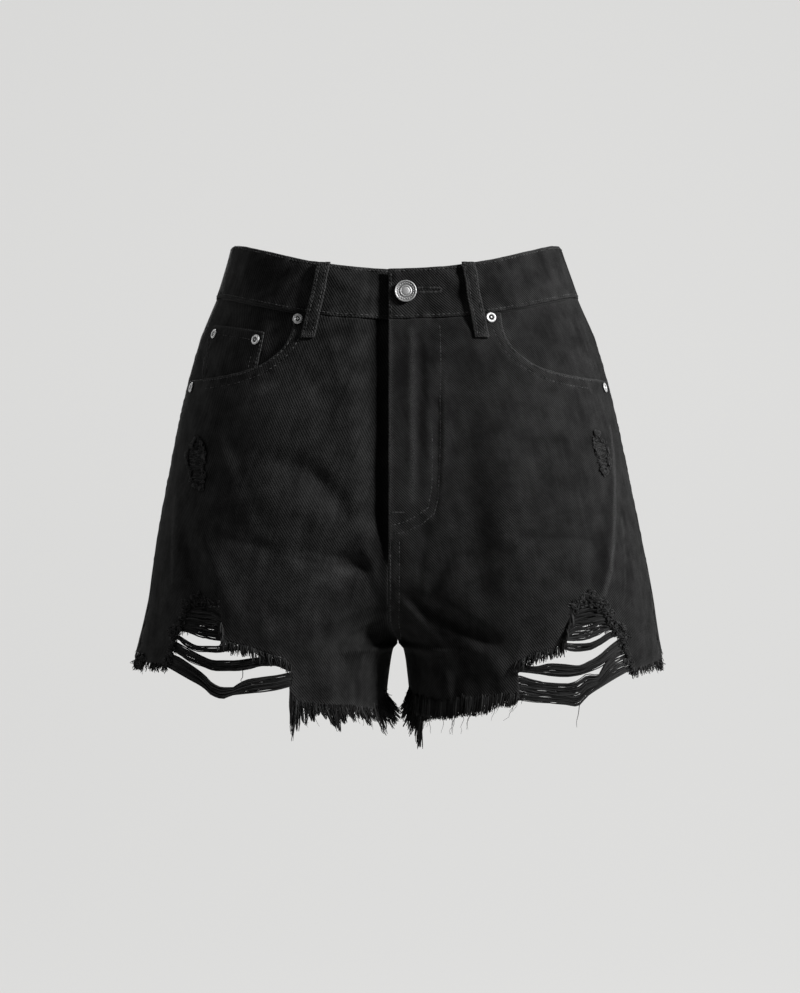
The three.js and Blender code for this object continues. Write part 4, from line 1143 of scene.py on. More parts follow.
def make_loop(name, half, u):
    """A belt loop: a folded strip that stands a little clear of the band and is tacked above and below it."""
    centre = name == "loop_centre_back"
    top = float(band_top(u)) + LOOP["above"]
    bottom = float(band_bottom(u)) - LOOP["below"]
    before, after = max(u - NEAR_U, 0), min(u + NEAR_U, 4)
    low, high = ring(half, before, LOOP["level"]), ring(half, after, LOOP["level"])
    span = math.hypot(float(high[0] - low[0]), float(high[1] - low[1]))
    per = (after - before) / span

    def place(flat):
        x, z = np.asarray(flat, float).T
        if centre:
            point, normal = cloth(1, np.full(len(x), 4.0), z)
            point[:, 0] = x
            normal[:, 0] = 0
            normal /= np.linalg.norm(normal, axis=1, keepdims=True)
        else:
            shift = np.interp((top - z) / (top - bottom), (0, 1), LOOP_SHIFT.get(name, (0, 0)))
            point, normal = cloth(half, u + (x + shift) * per, z)
        lift = loop_lift((top - z) / (top - bottom))
        return point + normal * lift[:, None], normal

    w = LOOP["wide"] / 2
    corners = [(-w, top), (w, top), (w, bottom), (-w, bottom)]
    outline = [("fold", np.array([corners[k], corners[(k + 1) % 4]])) for k in range(4)]
    rows = [np.array([(x, top - 3), (x, bottom + 2)]) for x in (-w + 2.3, w - 2.3)]
    if centre:
        half = -1
        outline = [(kind, line * [-1, 1]) for kind, line in outline]
    obj = shell(name, place, outline, thick=LOOP["thick"], rows=rows, step=1.7, half=half)
    for row in rows:
        stitch(SEWN, place, row, -0.15)
    for level in (top - 2.2, bottom + 2.4):
        for k in range(3):
            line = np.array([(-w + 1.2, level + 0.75 * (k - 1)), (w - 1.2, level + 0.75 * (k - 1))])
            stitch(SEWN, place, line, 0.0, pitch=1.5, radius=0.34)
    PIECES[name] = (obj, [name.replace("loop_", "belt_loop_")])


# The button's place, and lathe profiles: radius, height, and how dark the metal is painted, for tarnish in
# its hollows and painted shade there and underneath.
BUTTON = (6, -48.5)
BUTTON_PROFILE = [
    (0, 0, 1), (3.4, 0, 1), (3.4, 1.6, 1), (7.6, 1.9, 0.6), (8.2, 2.3, 0.2), (8.35, 2.9, 0), (8.2, 3.3, 0),
    (7.9, 3.5, 0), (7.5, 3.45, 0.1), (7.2, 3.1, 0.7), (7.0, 3.0, 0.35), (5.2, 3.0, 0.3), (4.9, 2.9, 0.8),
    (4.6, 3.05, 0.5), (4.4, 3.35, 0.05), (4.1, 3.45, 0), (3.5, 3.4, 0.1), (3.3, 3.2, 0.6), (3.1, 3.2, 0.5),
    (2.9, 3.4, 0.05), (2.4, 3.5, 0), (0, 3.55, 0),
]
RIVET_PROFILE = [
    (0, 0, 1), (3.9, 0, 1), (4.05, 0.4, 0.3), (3.95, 0.8, 0), (3.6, 1.1, 0), (3.1, 1.15, 0),
    (2.3, 1.05, 0.05), (1.95, 0.85, 0.5), (1.75, 0.4, 1), (1.05, 0.35, 1), (0.95, 0.7, 0.6), (0.8, 1.0, 0),
    (0.4, 1.15, 0), (0, 1.2, 0),
]
# Rivets: name, half, x and z in front view, and lift above the panel.
RIVETS = [
    ("pocket_left_upper", 1, 70.7, -68, 0),
    ("pocket_left_lower", 1, 164.5, -117.5, 0),
    ("pocket_right_upper", -1, 76.2, -68.9, 0),
    ("pocket_right_lower", -1, 164.5, -117.5, 0),
    ("coin_inner", -1, 110.2, -83.3, -CLOTH - GAP),
    ("coin_outer", -1, 146.5, -75, -CLOTH - GAP),
]


# The ring of dots on the button: how many, radius, height and size. Each has so many rings and points.
BEAD_RINGS = ((22, 6.1, 2.95, 0.5),)
BEAD = (4, 8)


def turned(name, node, profile, sides, half, x, z, lift, beads=()):
    """A lathe form seated on the cloth. Each bead ring is (count, radius, height, size)."""
    point, normal = cloth(half, front_u(half, x, z), np.array(float(z)))
    a = np.cross(normal, [0, 0, 1.0])
    a /= np.linalg.norm(a)
    b = np.cross(normal, a)
    turn = np.arange(sides) * 2 * math.pi / sides
    round_ = [a * math.cos(t) + b * math.sin(t) for t in turn]
    points = [point + normal * (lift + h) + r * way for r, h, _ in profile for way in round_]
    tarnish_and_shade = [dark for _, _, dark in profile for _ in turn]
    index = np.arange(len(points)).reshape(len(profile), sides)
    following = np.roll(index, -1, axis=1)
    quads = [np.stack([index[:-1], following[:-1], following[1:], index[1:]], -1).reshape(-1, 4)]
    for count, radius, height, size in beads:
        for k in range(count):
            t = 2 * math.pi * k / count
            centre = point + normal * (lift + height) + radius * (a * math.cos(t) + b * math.sin(t))
            start = len(points)
            for level in range(BEAD[0]):
                e = level / (BEAD[0] - 1) * math.pi / 2
                for j in range(BEAD[1]):
                    w = 2 * math.pi * j / BEAD[1]
                    out = size * math.cos(e) * (a * math.cos(w) + b * math.sin(w))
                    points.append(centre + out + normal * size * math.sin(e))
            tarnish_and_shade += [0.1] * (BEAD[0] * BEAD[1])
            dots = np.arange(BEAD[0] * BEAD[1]).reshape(BEAD) + start
            after = np.roll(dots, -1, axis=1)
            quads.append(np.stack([dots[:-1], after[:-1], after[1:], dots[1:]], -1).reshape(-1, 4))
    obj = mesh_from(name, points, quads, STEEL, {"dark": tarnish_and_shade})
    bm = bmesh.new()
    bm.from_mesh(obj.data)
    bmesh.ops.remove_doubles(bm, verts=bm.verts, dist=1e-6)
    bmesh.ops.recalc_face_normals(bm, faces=bm.faces)
    bm.to_mesh(obj.data)
    bm.free()
    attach(obj, "root")
    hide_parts(node)


# Loose threads. Paths start from points on the cloth and wander.
def wander(n, m, size):
    """Smooth random sideways drift for n threads of m points."""
    t = np.linspace(0, 1, m)
    out = np.zeros((n, m))
    for k in range(1, 5):
        high = rng.normal(0, 1, (n, 1)) / k
        out += high * np.sin(2 * math.pi * (k * t[None, :] * 0.8 + rng.random((n, 1))))
    return out * size


# Bands of bare threads across the torn holes: how many threads, their radius, and the band's course as x
# with its upper and lower edge.
BANDS = {
    "right": [
        (46, 0.5, [
            (167.6, -300.7, -307.6), (162.4, -288.1, -308.1), (151.1, -285.5, -311.4), (140.6, -286, -313.4),
            (133.5, -291.8, -314),
        ]),
        (12, 0.42, [
            (171.1, -310.2, -312.5), (163.4, -314.3, -318.9), (151.1, -318.3, -322.9),
            (137.6, -317.9, -323.2), (132.1, -317, -322.4), (119.7, -319.1, -320.6),
        ]),
        (34, 0.42, [
            (174.7, -315.2, -322.9), (167.7, -317.8, -326.1), (159.2, -321.7, -331), (148.8, -326.6, -334.3),
            (139.2, -329.4, -337.1), (126, -329.1, -336.8), (112.2, -327.5, -335.2), (103.2, -326.7, -332.9),
            (93.3, -327.6, -333), (81.5, -331.7, -337.9),
        ]),
        (50, 0.42, [
            (179.9, -324.9, -335.7), (169.4, -327.8, -340.1), (159.4, -333.3, -344.9),
            (148.9, -340.5, -350.5), (141.8, -347.2, -356.4), (133.9, -350, -358.3), (126.2, -349.9, -355.3),
            (120, -346, -354.5), (112.5, -342.9, -353.7), (103.3, -341.4, -352.9), (93.5, -340, -351.6),
            (81.5, -337.9, -348.8),
        ]),
    ],
    "left": [
        (46, 0.5, [
            (127.5, -303.9, -313), (132.8, -288.7, -313.9), (142.2, -284.3, -314.2), (151.8, -283.1, -310.6),
            (159.1, -287.9, -307.1), (164.9, -300.5, -306.6),
        ]),
        (16, 0.42, [
            (125.2, -315.3, -319.9), (134.6, -316.3, -322.4), (146.4, -315.8, -321.2), (154.4, -313, -317.6),
            (162.4, -308, -313.4), (169.1, -306.8, -311.4),
        ]),
        (30, 0.42, [
            (92, -331.5, -337.6), (104.2, -333.7, -339), (115.5, -331.4, -340.5), (127, -332.2, -341.4),
            (137.1, -333.2, -340.1), (146.6, -329.6, -337.3), (154.5, -325.3, -334.6), (162.7, -319, -329.6),
            (172.6, -313.2, -324),
        ]),
        (62, 0.42, [
            (92.2, -340.7, -359.3), (104.3, -344.4, -360.8), (115.8, -345.9, -361.5),
            (127.2, -346.8, -362.3), (136.6, -344.7, -364.1), (145.1, -339.6, -356.5),
            (153.1, -340.7, -351.5), (159.4, -331, -348), (167.8, -322.3, -343.8), (179.8, -319.3, -338.6),
        ]),
    ],
}


def front_point(half, x, z):
    """Points and normals on the front at a distance from the centre and a height."""
    return cloth(half, front_u(half, x, z), z)


def band_threads(side, threads):
    half = HEADING[side]
    for count, radius, rows in BANDS[side]:
        rows = sorted(rows)
        stray = 0.02 if radius > 0.45 else 0.045
        count = int(count * (1.7 if radius > 0.45 else 1.2))
        xs = np.array([r[0] for r in rows], float)
        m = max(10, int((xs[-1] - xs[0]) / 3.2))
        at = np.linspace(0, 1, m)
        share = (np.arange(count) + rng.random(count)) / count
        first = xs[0] - 2.5 * rng.random(count) - 1
        last = xs[-1] + 2.5 * rng.random(count) + 1
        x = first[:, None] + (last - first)[:, None] * at[None, :]
        near = np.clip(x, xs[0], xs[-1])
        top = along(xs, [r[1] for r in rows], near)
        bottom = along(xs, [r[2] for r in rows], near)
        mixing = np.clip(share[:, None] + wander(count, m, stray), 0, 1)
        z = top + (bottom - top) * mixing + wander(count, m, 0.14)
        point, normal = front_point(half, x, z)
        ends = np.sin(math.pi * at)[None, :]
        out = -CLOTH / 2 + wander(count, m, 0.5) * ends + rng.normal(0, 0.35, (count, 1)) * ends
        paths = point + normal * out[..., None]
        thin = radius * (0.7 + 0.5 * rng.random((count, 1))) * np.ones((1, m))
        threads.add(paths, thin, sides=5, tint=0.15 + 0.6 * rng.random(count) ** 2)


def yarn_ends(
    threads, half, line, every, length, radius=0.3, curl=1.0, down=1.0, out=1.0, tint=(0.2, 0.8), even=0.0
):
    """Short yarn ends along a torn edge, which hang, fold and curl. line is in front view."""
    line = resample(np.array(line, float), every)
    n, m = len(line), 9
    t = np.linspace(0, 1, m)
    root, normal = front_point(half, line[:, 0], line[:, 1])
    loose = 1 - even
    long = length * (1 + loose * rng.uniform(-0.55, 0.25, n))
    fall = rng.normal(-0.12 * even, 0.1 + 0.35 * loose, n)
    away = np.stack([np.sin(fall) * half, np.zeros(n), -np.cos(fall) * down], -1)
    side = np.cross(normal, away)
    bend = rng.normal(0, 1, n) * curl
    turn = bend[:, None] * t[None, :] ** 1.5 * 2.2
    step = long[:, None] / (m - 1)
    go = np.cos(turn)[..., None] * away[:, None, :] + np.sin(turn)[..., None] * side[:, None, :]
    off = 0.55 * out * (1 - 1.7 * t)[None, :] + rng.normal(0, 0.25, (n, 1))
    go = go + normal[:, None, :] * off[..., None]
    paths = root[:, None, :] - normal[:, None, :] * CLOTH * 0.5 + np.cumsum(go * step[..., None], axis=1)
    radii = radius * (0.75 + 0.5 * rng.random((n, 1))) * (1 - 0.55 * t[None, :] ** 2)
    threads.add(paths, radii, sides=4, tint=tint[0] + (tint[1] - tint[0]) * rng.random(n) ** 1.5)


def curls(threads, half, centres, size, lift=0.4, radius=0.3, turns=1.25, tint=(0.3, 1.0)):
    """Small loose loops of frayed yarn lying on the cloth."""
    centres = np.array(centres, float)
    n, m = len(centres), 13
    t = np.linspace(0, 1, m)[None, :]
    around = 2 * math.pi * (turns * (0.6 + 0.6 * rng.random((n, 1))) * t + rng.random((n, 1)))
    r = size * (0.5 + 0.7 * rng.random((n, 1))) * (1 - 0.35 * t)
    dx, dz = np.cos(around) * r, np.sin(around) * r * 0.9
    drift = rng.normal(0, 0.6, (n, 2))
    x = centres[:, :1] + dx + drift[:, :1] * t
    z = centres[:, 1:] + dz + drift[:, 1:] * t
    point, normal = front_point(half, x, z)
    high = lift + 0.9 * np.abs(np.sin(around * 0.5)) * rng.random((n, 1)) * size * 0.7
    paths = point + normal * high[..., None]
    radii = radius * (0.7 + 0.5 * rng.random((n, 1))) * np.ones((1, m))
    threads.add(paths, radii, sides=4, tint=tint[0] + (tint[1] - tint[0]) * rng.random(n) ** 1.5)


def scattered(outline, count, spread):
    """Points scattered near a line."""
    line = resample(np.array(outline, float), 0.5)
    pick = rng.integers(0, len(line), count)
    return line[pick] + rng.normal(0, spread, (count, 2))


# Where the cloth has fluffed up into tufts beside the torn patches.
TUFTS = {
    "right": [(171, -316), (174, -308), (167, -305), (160, -284), (152, -281)],
    "left": [(178, -313), (172, -305), (166, -300), (147, -281), (138, -284)],
}
WEFT_PATCHES = {
    "right": {"x": 156, "z": -178, "wide": 7.5, "high": 19, "slant": 0.06},
    "left": {"x": 158.5, "z": -170.5, "wide": 5, "high": 15, "slant": -0.24},
}


def worn_oval(spot):
    turn = np.linspace(0, 2 * math.pi, 60, endpoint=False)
    wob = 1 + 0.12 * np.sin(3 * turn + 1) + 0.1 * np.sin(5 * turn)
    dx, dz = spot["wide"] * wob * np.cos(turn), spot["high"] * wob * np.sin(turn)
    return np.stack([spot["x"] + dx + spot["slant"] * dz, spot["z"] + dz], -1)


def make_frays(side):
    """Threads across and along the torn hole of one leg, and the worn oval on its hip."""
    half = HEADING[side]
    threads = Threads()
    band_threads(side, threads)
    if side == "right":
        comb = [
            (134, -300), (132.8, -313.9), (122.7, -316), (112, -318.2), (103, -322.1), (95.5, -324.5),
            (87.3, -326.9), (81.4, -331.7),
        ]
        top = [(164, -293), (161.6, -286), (154.3, -282.5), (144.7, -283), (137.4, -287)]
        outer = [(180, -336), (174.6, -324.4), (172, -314.9), (168.4, -305.4), (164.1, -292.8)]
    else:
        comb = [
            (89.8, -330), (98.7, -325.2), (107.7, -322.1), (116.8, -319.8), (124.6, -317.7), (125.9, -309.9),
            (128.2, -302.3), (132.8, -291.8),
        ]
        top = [(132.8, -291), (136, -285), (144.5, -282.1), (154.1, -283.1), (159, -289)]
        outer = [
            (159, -289.4), (160.7, -297.1), (165.8, -305.1), (170.9, -311.5), (174.5, -321.1), (181, -336),
        ]
    raised = [(x, z + 1.2) for x, z in comb]
    yarn_ends(threads, half, raised, 0.62, 8.6, radius=0.5, curl=0.12, out=1.3, tint=(0.1, 1.0), even=0.85)
    yarn_ends(threads, half, raised, 0.8, 7.2, radius=0.46, curl=0.2, out=0.3, tint=(0.0, 0.5), even=0.7)
    yarn_ends(threads, half, comb, 2.4, 5.0, radius=0.3, curl=1.4, out=2.5)
    yarn_ends(threads, half, top, 0.7, 5.5, radius=0.4, curl=1.6, out=2)
    yarn_ends(threads, half, top, 1.0, 4.0, radius=0.34, curl=1.8, down=-1, out=2)
    yarn_ends(threads, half, outer, 0.8, 5.0, radius=0.4, curl=1.3, out=1.5)
    yarn_ends(threads, half, outer, 1.2, 5.0, radius=0.34, curl=2.0, out=2.5)
    curls(threads, half, scattered(top, 90, 1.8), 1.6, lift=0.2, radius=0.36)
    curls(threads, half, scattered(outer, 70, 1.6), 1.3, lift=0.1, radius=0.34)
    tuft = TUFTS[side]
    curls(threads, half, scattered(tuft, 60, 1.7), 1.7, lift=0.6, radius=0.34, tint=(0.4, 1.0))
    yarn_ends(threads, half, tuft, 0.5, 5.0, radius=0.32, curl=2.2, down=0.2, out=2.5, tint=(0.3, 1.0))
    spot = WEFT_PATCHES[side]
    oval = worn_oval(spot)
    knots = oval[rng.choice(len(oval), 16, replace=False)]
    curls(threads, half, scattered(oval, 150, 0.5), 1.0, lift=0.3, radius=0.4, turns=1.0, tint=(0.1, 0.9))
    for knot in knots:
        spread = knot + rng.normal(0, 0.55, (9, 2))
        curls(threads, half, spread, 1.25, lift=0.7, radius=0.34, turns=1.6, tint=(0.25, 1.0))
    n, m = 150, 7
    place = rng.uniform(-0.8, 0.8, (n, 2))
    z0 = spot["z"] + spot["high"] * place[:, 1]
    x0 = spot["x"] + spot["wide"] * place[:, 0] + spot["slant"] * (z0 - spot["z"])
    t = np.linspace(-1, 1, m)[None, :]
    x = x0[:, None] + 2.4 * t * rng.uniform(0.5, 1, (n, 1))
    z = z0[:, None] + wander(n, m, 0.4)
    point, normal = front_point(half, x, z)
    high = -0.1 + 0.5 * (1 - t**2) * rng.random((n, 1))
    tint = 0.15 + 0.85 * rng.random(n) ** 1.5
    threads.add(point + normal * high[..., None], np.full((n, m), 0.3), sides=4, tint=tint)
    obj = threads.mesh(f"frays_{side}", YARN)
    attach(obj, "root")


# Hem fringes: clumps of threads that draw together at their tips. Columns: x of the root, length, lean of the
# tip to the outside, half width at the root, and how many threads. No root lies nearer the centre than
# INNERMOST.
INNERMOST = 9.3
CLUMP = "x long lean wide count"
CLUMPS = {
    "right": columns(
        CLUMP,
        [9.5, 13, -7, 3, 24], [12, 17, -11, 4, 28], [16, 16, -14, 4, 26], [21, 12, -9, 4, 24],
        [26, 15, -7, 4, 24], [31, 10, -4, 4, 22], [37, 13, -5, 4, 24], [43, 15, -3, 4, 26],
        [48, 21, -3, 4, 30], [53, 18, -5, 4, 26], [58, 12, -4, 4, 22], [63, 10, -2, 4, 20],
        [67, 14, -2, 4, 24], [72, 17, -1, 4, 26], [76, 24, 1, 3, 24], [79.5, 31, 2, 2.6, 24],
    ),
    "left": columns(
        CLUMP,
        [9, 12, -8, 3, 26], [11, 15, -8, 4, 30], [14, 20, -2, 3.4, 30], [16.5, 27, -1, 1.8, 34],
        [21, 6, -2, 4, 14], [30, 5, 0, 4, 12], [40, 5, 0, 4, 12], [50, 5, 0, 4, 12], [60, 6, 0, 4, 12],
        [70, 6, -1, 4, 12], [80, 6, 1, 4, 12], [86, 6, 2, 4, 12],
    ),
}


# Combed yarns that lie over the left leg's hem: where they start and end.
TEETH = columns(
    "x root tip", [14, -364, -379], [18.4, -363.5, -377.1], [30.6, -363.5, -376.9], [43.6, -361.5, -375.2],
    [49, -360, -371.8], [51, -359.5, -369.3], [53, -359.5, -372.5], [65, -358.5, -371.2],
    [75.6, -357.5, -365.9], [79.5, -357, -364], [85.6, -357, -364.6], [91, -356, -362],
)
# Single long strands: x, z, lean and length.
STRANDS = {
    "left": [(139, -359, -3, 21), (96, -352, -1, 10), (205, -334, 3.5, 11), (203, -334, 5, 9)],
    "right": [(204, -335, -2, 10), (202, -336, 2, 8), (118, -338, 1, 10)],
}
# Tufts at the inner corners that close the gap between the legs: x and height of the root above the hem,
# half width, lean, length and how many threads.
INNER_TUFTS = {
    "right": [
        (12, 0, 4, -14, 16, 70), (11, 1, 3, -9, 23, 34), (15, 0, 4, -7, 24, 34), (9.5, 2, 1, -12, 13, 40),
    ],
    "left": [
        (10, 2, 2, -8, 20, 60), (10, 9, 1.5, -7, 16, 50), (12, 0, 3, -5, 20, 50), (10, 2, 1, -10, 13, 40),
    ],
}
# The round tuft at the outer corner of the right leg's hem.
CORNER_TUFT = [(201, -334), (205, -332), (208, -334), (206, -338), (202, -339), (209, -337)]


def hem_z(side, x):
    u = front_u(HEADING[side], np.maximum(x, INNERMOST), np.full(np.shape(x), HEM_LEVEL))
    return front_hem(side, u)


def hanging(
    threads, half, root_u, root_z, lean, long, out, radius, tint, m=8, wave=0.5, lift=None, facing=False
):
    """Threads hanging from (u, z) roots. lean is sideways, positive away from the centre, along the cloth or,
    where facing, along the front."""
    n = len(root_u)
    t = np.linspace(0, 1, m)[None, :]
    root, normal = cloth(half, root_u, root_z)
    nearby, _ = cloth(half, np.clip(root_u + 0.01, 0, 4), root_z)
    side = nearby - root
    side[:, 2] = 0
    side /= np.linalg.norm(side, axis=1, keepdims=True) + 1e-9
    flat_normal = normal * [1, 1, 0]
    if facing:
        side = np.zeros_like(root) + [half, 0, 0]
        flat_normal = np.zeros_like(root) + [0, -1, 0]
    flat_normal /= np.linalg.norm(flat_normal, axis=1, keepdims=True) + 1e-9
    high = -CLOTH * (0.15 + 0.7 * rng.random((n, 1))) if lift is None else lift
    start = root + normal * high
    start[:, 2] += 1.5
    down = (long + 1.5)[:, None] * t
    across = lean[:, None] * t**1.4 + wander(n, m, wave) * t
    away = out[:, None] * t**1.5 + wander(n, m, wave * 0.8) * t
    paths = start[:, None, :] + side[:, None, :] * across[..., None]
    paths = paths + flat_normal[:, None, :] * away[..., None]
    paths[..., 2] -= down
    radii = radius[:, None] * (1 - 0.6 * t**2)
    threads.add(paths, radii, sides=4, tint=tint)


def make_fringe(side):
    """The hem's threads of one leg: inner and outer front, and behind."""
    half = HEADING[side]
    inner, outer = Threads(), Threads()
    clumps = CLUMPS[side]
    for i in range(len(clumps["x"])):
        c = {k: v[i] for k, v in clumps.items()}
        n = int(c["count"])
        dx = rng.uniform(-1, 1, n) * c["wide"]
        x = np.maximum(c["x"] + dx, INNERMOST)
        z = hem_z(side, x)
        u = front_u(half, x, z)
        long = c["long"] * (0.5 + 0.5 * rng.random(n) ** 0.6)
        lean = (c["lean"] - dx * 0.8) * long / c["long"] + rng.normal(0, 0.5, n)
        out = rng.normal(0.4, 0.8, n) * long / 12
        radius = 0.36 + 0.26 * rng.random(n)
        hanging(inner, half, u, z, lean, long, out, radius, 0.05 + 0.95 * rng.random(n) ** 3, m=9, wave=0.35)
    ends = {"left": 92, "right": 81}[side]
    n = 330
    x = rng.uniform(INNERMOST, ends, n)
    z = hem_z(side, x)
    long = rng.uniform(2.5, 8.5, n) * (0.6 if half > 0 else 1)
    lean, out = rng.normal(-0.5, 1.2, n), rng.normal(0.2, 0.6, n)
    radius, tint = rng.uniform(0.32, 0.55, n), 0.05 + 0.95 * rng.random(n) ** 3
    hanging(inner, half, front_u(half, x, z), z, lean, long, out, radius, tint, wave=0.8)
    n = 26
    x = rng.uniform(INNERMOST, ends, n)
    z = hem_z(side, x)
    lean, long, out = rng.normal(-2, 3, n), rng.uniform(8, 19, n), rng.normal(0.5, 1.5, n)
    radius, tint = rng.uniform(0.16, 0.24, n), 0.5 + 0.5 * rng.random(n)
    hanging(inner, half, front_u(half, x, z), z, lean, long, out, radius, tint, wave=1.2)
    if half > 0:
        n = 330
        x = np.sort(rng.uniform(14, 91, n))
        root = along(TEETH["x"], TEETH["root"], x) + rng.normal(0, 1.1, n)
        long = root - along(TEETH["x"], TEETH["tip"], x) + rng.normal(0, 0.5, n)
        shade = np.clip(0.35 + 0.3 * np.sin(x / 1.7) + rng.normal(0, 0.25, n), 0, 1)
        lean, out = rng.normal(-1.6, 0.5, n), rng.normal(0.3, 0.4, n)
        radius, lift = rng.uniform(0.38, 0.56, n), rng.uniform(0.0, 0.5, (n, 1))
        u = front_u(half, x, root)
        hanging(inner, half, u, root, lean, long, out, radius, shade, m=7, wave=0.22, lift=lift)
    n, furthest = (40, -10) if half > 0 else (90, -18)
    x = rng.uniform(INNERMOST, 14, n)
    z = hem_z(side, x) + rng.uniform(0, 11, n)
    lean, long, out = rng.uniform(furthest, -3, n), rng.uniform(1.5, 7, n), rng.normal(-2, 3, n)
    radius, tint = rng.uniform(0.3, 0.46, n), 0.4 * rng.random(n)
    hanging(inner, half, front_u(half, x, z), z, lean, long, out, radius, tint, m=10, wave=1.7)
    for x, z, spread, lean, long, count in INNER_TUFTS[side]:
        count = int(count)
        dx = rng.uniform(-1, 1, count) * spread
        root = np.maximum(x + dx, INNERMOST)
        height = hem_z(side, root) + z + 3 * rng.random(count)
        reach = long * (0.6 + 0.4 * rng.random(count))
        tips = (lean - dx * 0.5) * reach / long + rng.normal(0, 0.6, count)
        out, radius = rng.normal(-0.5, 1.2, count), rng.uniform(0.36, 0.6, count)
        tint = (0.05 if half > 0 else 0.3) + 0.6 * rng.random(count) ** 2
        u = front_u(half, root, height)
        hanging(inner, half, u, height, tips, reach, out, radius, tint, m=10, wave=0.7, facing=True)
    for strand in STRANDS[side]:
        x, z, lean, long, out, radius = np.array([[*strand, 1.5, 0.3]], float).T
        hanging(outer, half, front_u(half, x, z), z, lean, long, out, radius, 0.3, m=12, wave=0.7)
    if half < 0:
        curls(outer, half, scattered(CORNER_TUFT, 110, 1.5), 1.7, lift=0.6, radius=0.4, tint=(0.0, 0.6))
    n = 170
    u = rng.uniform(front_u(half, 179.0, np.array(-338.0)), seam_u(SIDE_HEM) - 0.002, n)
    z = front_hem(side, u)
    lean, long = rng.normal(0.6, 1.2, n), rng.uniform(2, 8, n) * (0.6 + 0.5 * rng.random(n))
    out, radius, tint = rng.normal(0.8, 0.9, n), rng.uniform(0.26, 0.5, n), 0.1 + 0.9 * rng.random(n) ** 2.5
    hanging(outer, half, u, z, lean, long, out, radius, tint, wave=0.9)
    n = 70
    u = rng.uniform(seam_u(SIDE_HEM) - 0.07, seam_u(SIDE_HEM) - 0.002, n)
    z = front_hem(side, u)
    lean, long, out = rng.normal(0.8, 1.5, n), rng.uniform(3, 9, n), rng.normal(2.2, 1.3, n)
    radius, tint = rng.uniform(0.26, 0.48, n), 0.1 + 0.9 * rng.random(n) ** 2.5
    hanging(outer, half, u, z, lean, long, out, radius, tint, wave=1.2)
    nodes = {
        f"fringe_inner_{side}": (inner, f"fringe_front_{side}_inner"),
        f"fringe_outer_{side}": (outer, f"fringe_front_{side}_outer"),
    }
    behind = Threads()
    n = 520
    u = rng.uniform(seam_u(SIDE_HEM) + 0.002, 3.995, n)
    z = back_hem(u)
    share = (u - 1.8) / 2.2
    lean, long = rng.normal(0, 1.2, n), (2 + 6 * rng.random(n)) * (1 + 0.9 * np.clip(share, 0, 1) ** 4)
    out, radius, tint = rng.normal(0.2, 0.8, n), rng.uniform(0.2, 0.38, n), 0.1 + 0.9 * rng.random(n) ** 3
    hanging(behind, half, u, z, lean, long, out, radius, tint, wave=0.8)
    nodes[f"fringe_behind_{side}"] = (behind, f"fringe_back_{side}")
    for name, (threads, node) in nodes.items():
        obj = threads.mesh(name, YARN)
        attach(obj, "root")
        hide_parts(node)


# The buttonhole: its height, where its lips start and end, and how wide its stitches reach from and to.
HOLE = {"z": -47.2, "start": 12, "end": 31, "from": 0.7, "to": 2.6}


def buttonhole():
    """Close stitches along both lips of the hole and round its outer end."""
    place = placer(1, TUCK["band"])
    for k in range(24):
        x = HOLE["start"] + (HOLE["end"] - HOLE["start"]) * k / 23
        for sign in (-1, 1):
            ends = (HOLE["z"] + sign * HOLE["from"], HOLE["z"] + sign * HOLE["to"])
            line = flat_front(1, [(x, ends[0]), (x + 0.3, ends[1])])
            stitch(SEWN, place, line, BAND_PROUD + 0.05, pitch=3, radius=0.3)
    for k in range(7):
        a = math.radians(-80 + 160 * k / 6)
        line = [(HOLE["end"] + r * math.cos(a), HOLE["z"] + r * math.sin(a)) for r in (0.8, 2.8)]
        stitch(SEWN, place, flat_front(1, line), BAND_PROUD + 0.05, pitch=3, radius=0.3)


# The seam allowance: how deep it lies behind the cloth, and its radii.
ALLOWANCE = {"sunk": 0.75, "thin": 1.15, "thick": 1.25}


def felled_seams():
    """The doubled allowance behind each seam, which also closes it."""
    allowance = Threads()
    for half in (1, -1):
        lines = []
        zs = np.linspace(-112, SIDE_HEM + 1, 90)
        lines.append((seam_u(zs), zs))
        zs = np.linspace(-48, -110, 30)
        lines.append((seam_u(zs) + 0.004, zs))
        us = np.linspace(seam_u(-80) + 0.01, 3.99, 90)
        lines.append((us, yoke_bottom(us) - GAP / 2))
        us = np.linspace(0.05, 3.99, 160)
        lines.append((us, band_bottom(us) - GAP / 2))
        for us, zs in lines:
            point, normal = cloth(half, us, zs)
            path = point - normal * (CLOTH + ALLOWANCE["sunk"])
            allowance.add(path[None], np.full((1, len(us)), ALLOWANCE["thin"]), sides=8, tint=0.3)
    for u, first, last in ((4.0, -48, INSEAM_HEM + 2), (0.0, -262, INSEAM_HEM + 2)):
        zs = np.linspace(first, max(last, CROTCH + 1), 120)
        pair = [cloth(half, np.full(120, u), zs) for half in (1, -1)]
        point = (pair[0][0] + pair[1][0]) / 2
        normal = pair[0][1] + pair[1][1]
        normal[:, 0] = 0
        normal /= np.linalg.norm(normal, axis=1, keepdims=True)
        path = point - normal * (CLOTH + ALLOWANCE["sunk"])
        allowance.add(path[None], np.full((1, 120), ALLOWANCE["thick"]), sides=8, tint=0.3)
    for half in (1, -1):
        zs = np.linspace(CROTCH, INSEAM_HEM + 3, 30)
        front, behind = cloth(half, np.zeros(30), zs), cloth(half, np.full(30, 4.0), zs)
        point = (front[0] + behind[0]) / 2
        point[:, 0] += half * (CLOTH + 0.7)
        allowance.add(point[None], np.full((1, 30), ALLOWANCE["thick"]), sides=8, tint=0.3)
    obj = allowance.mesh("felled_seams", YARN)
    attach(obj, "root")


def fly_tack():
    """The bar tack across the foot of the fly."""
    left = placer(1)
    for k in range(22):
        x = -4.6 + 9.4 * k / 21
        stitch(SEWN, left, flat_front(1, [(x, -215.4), (x + 0.2, -217)]), 0.0, pitch=1.7, radius=0.24)


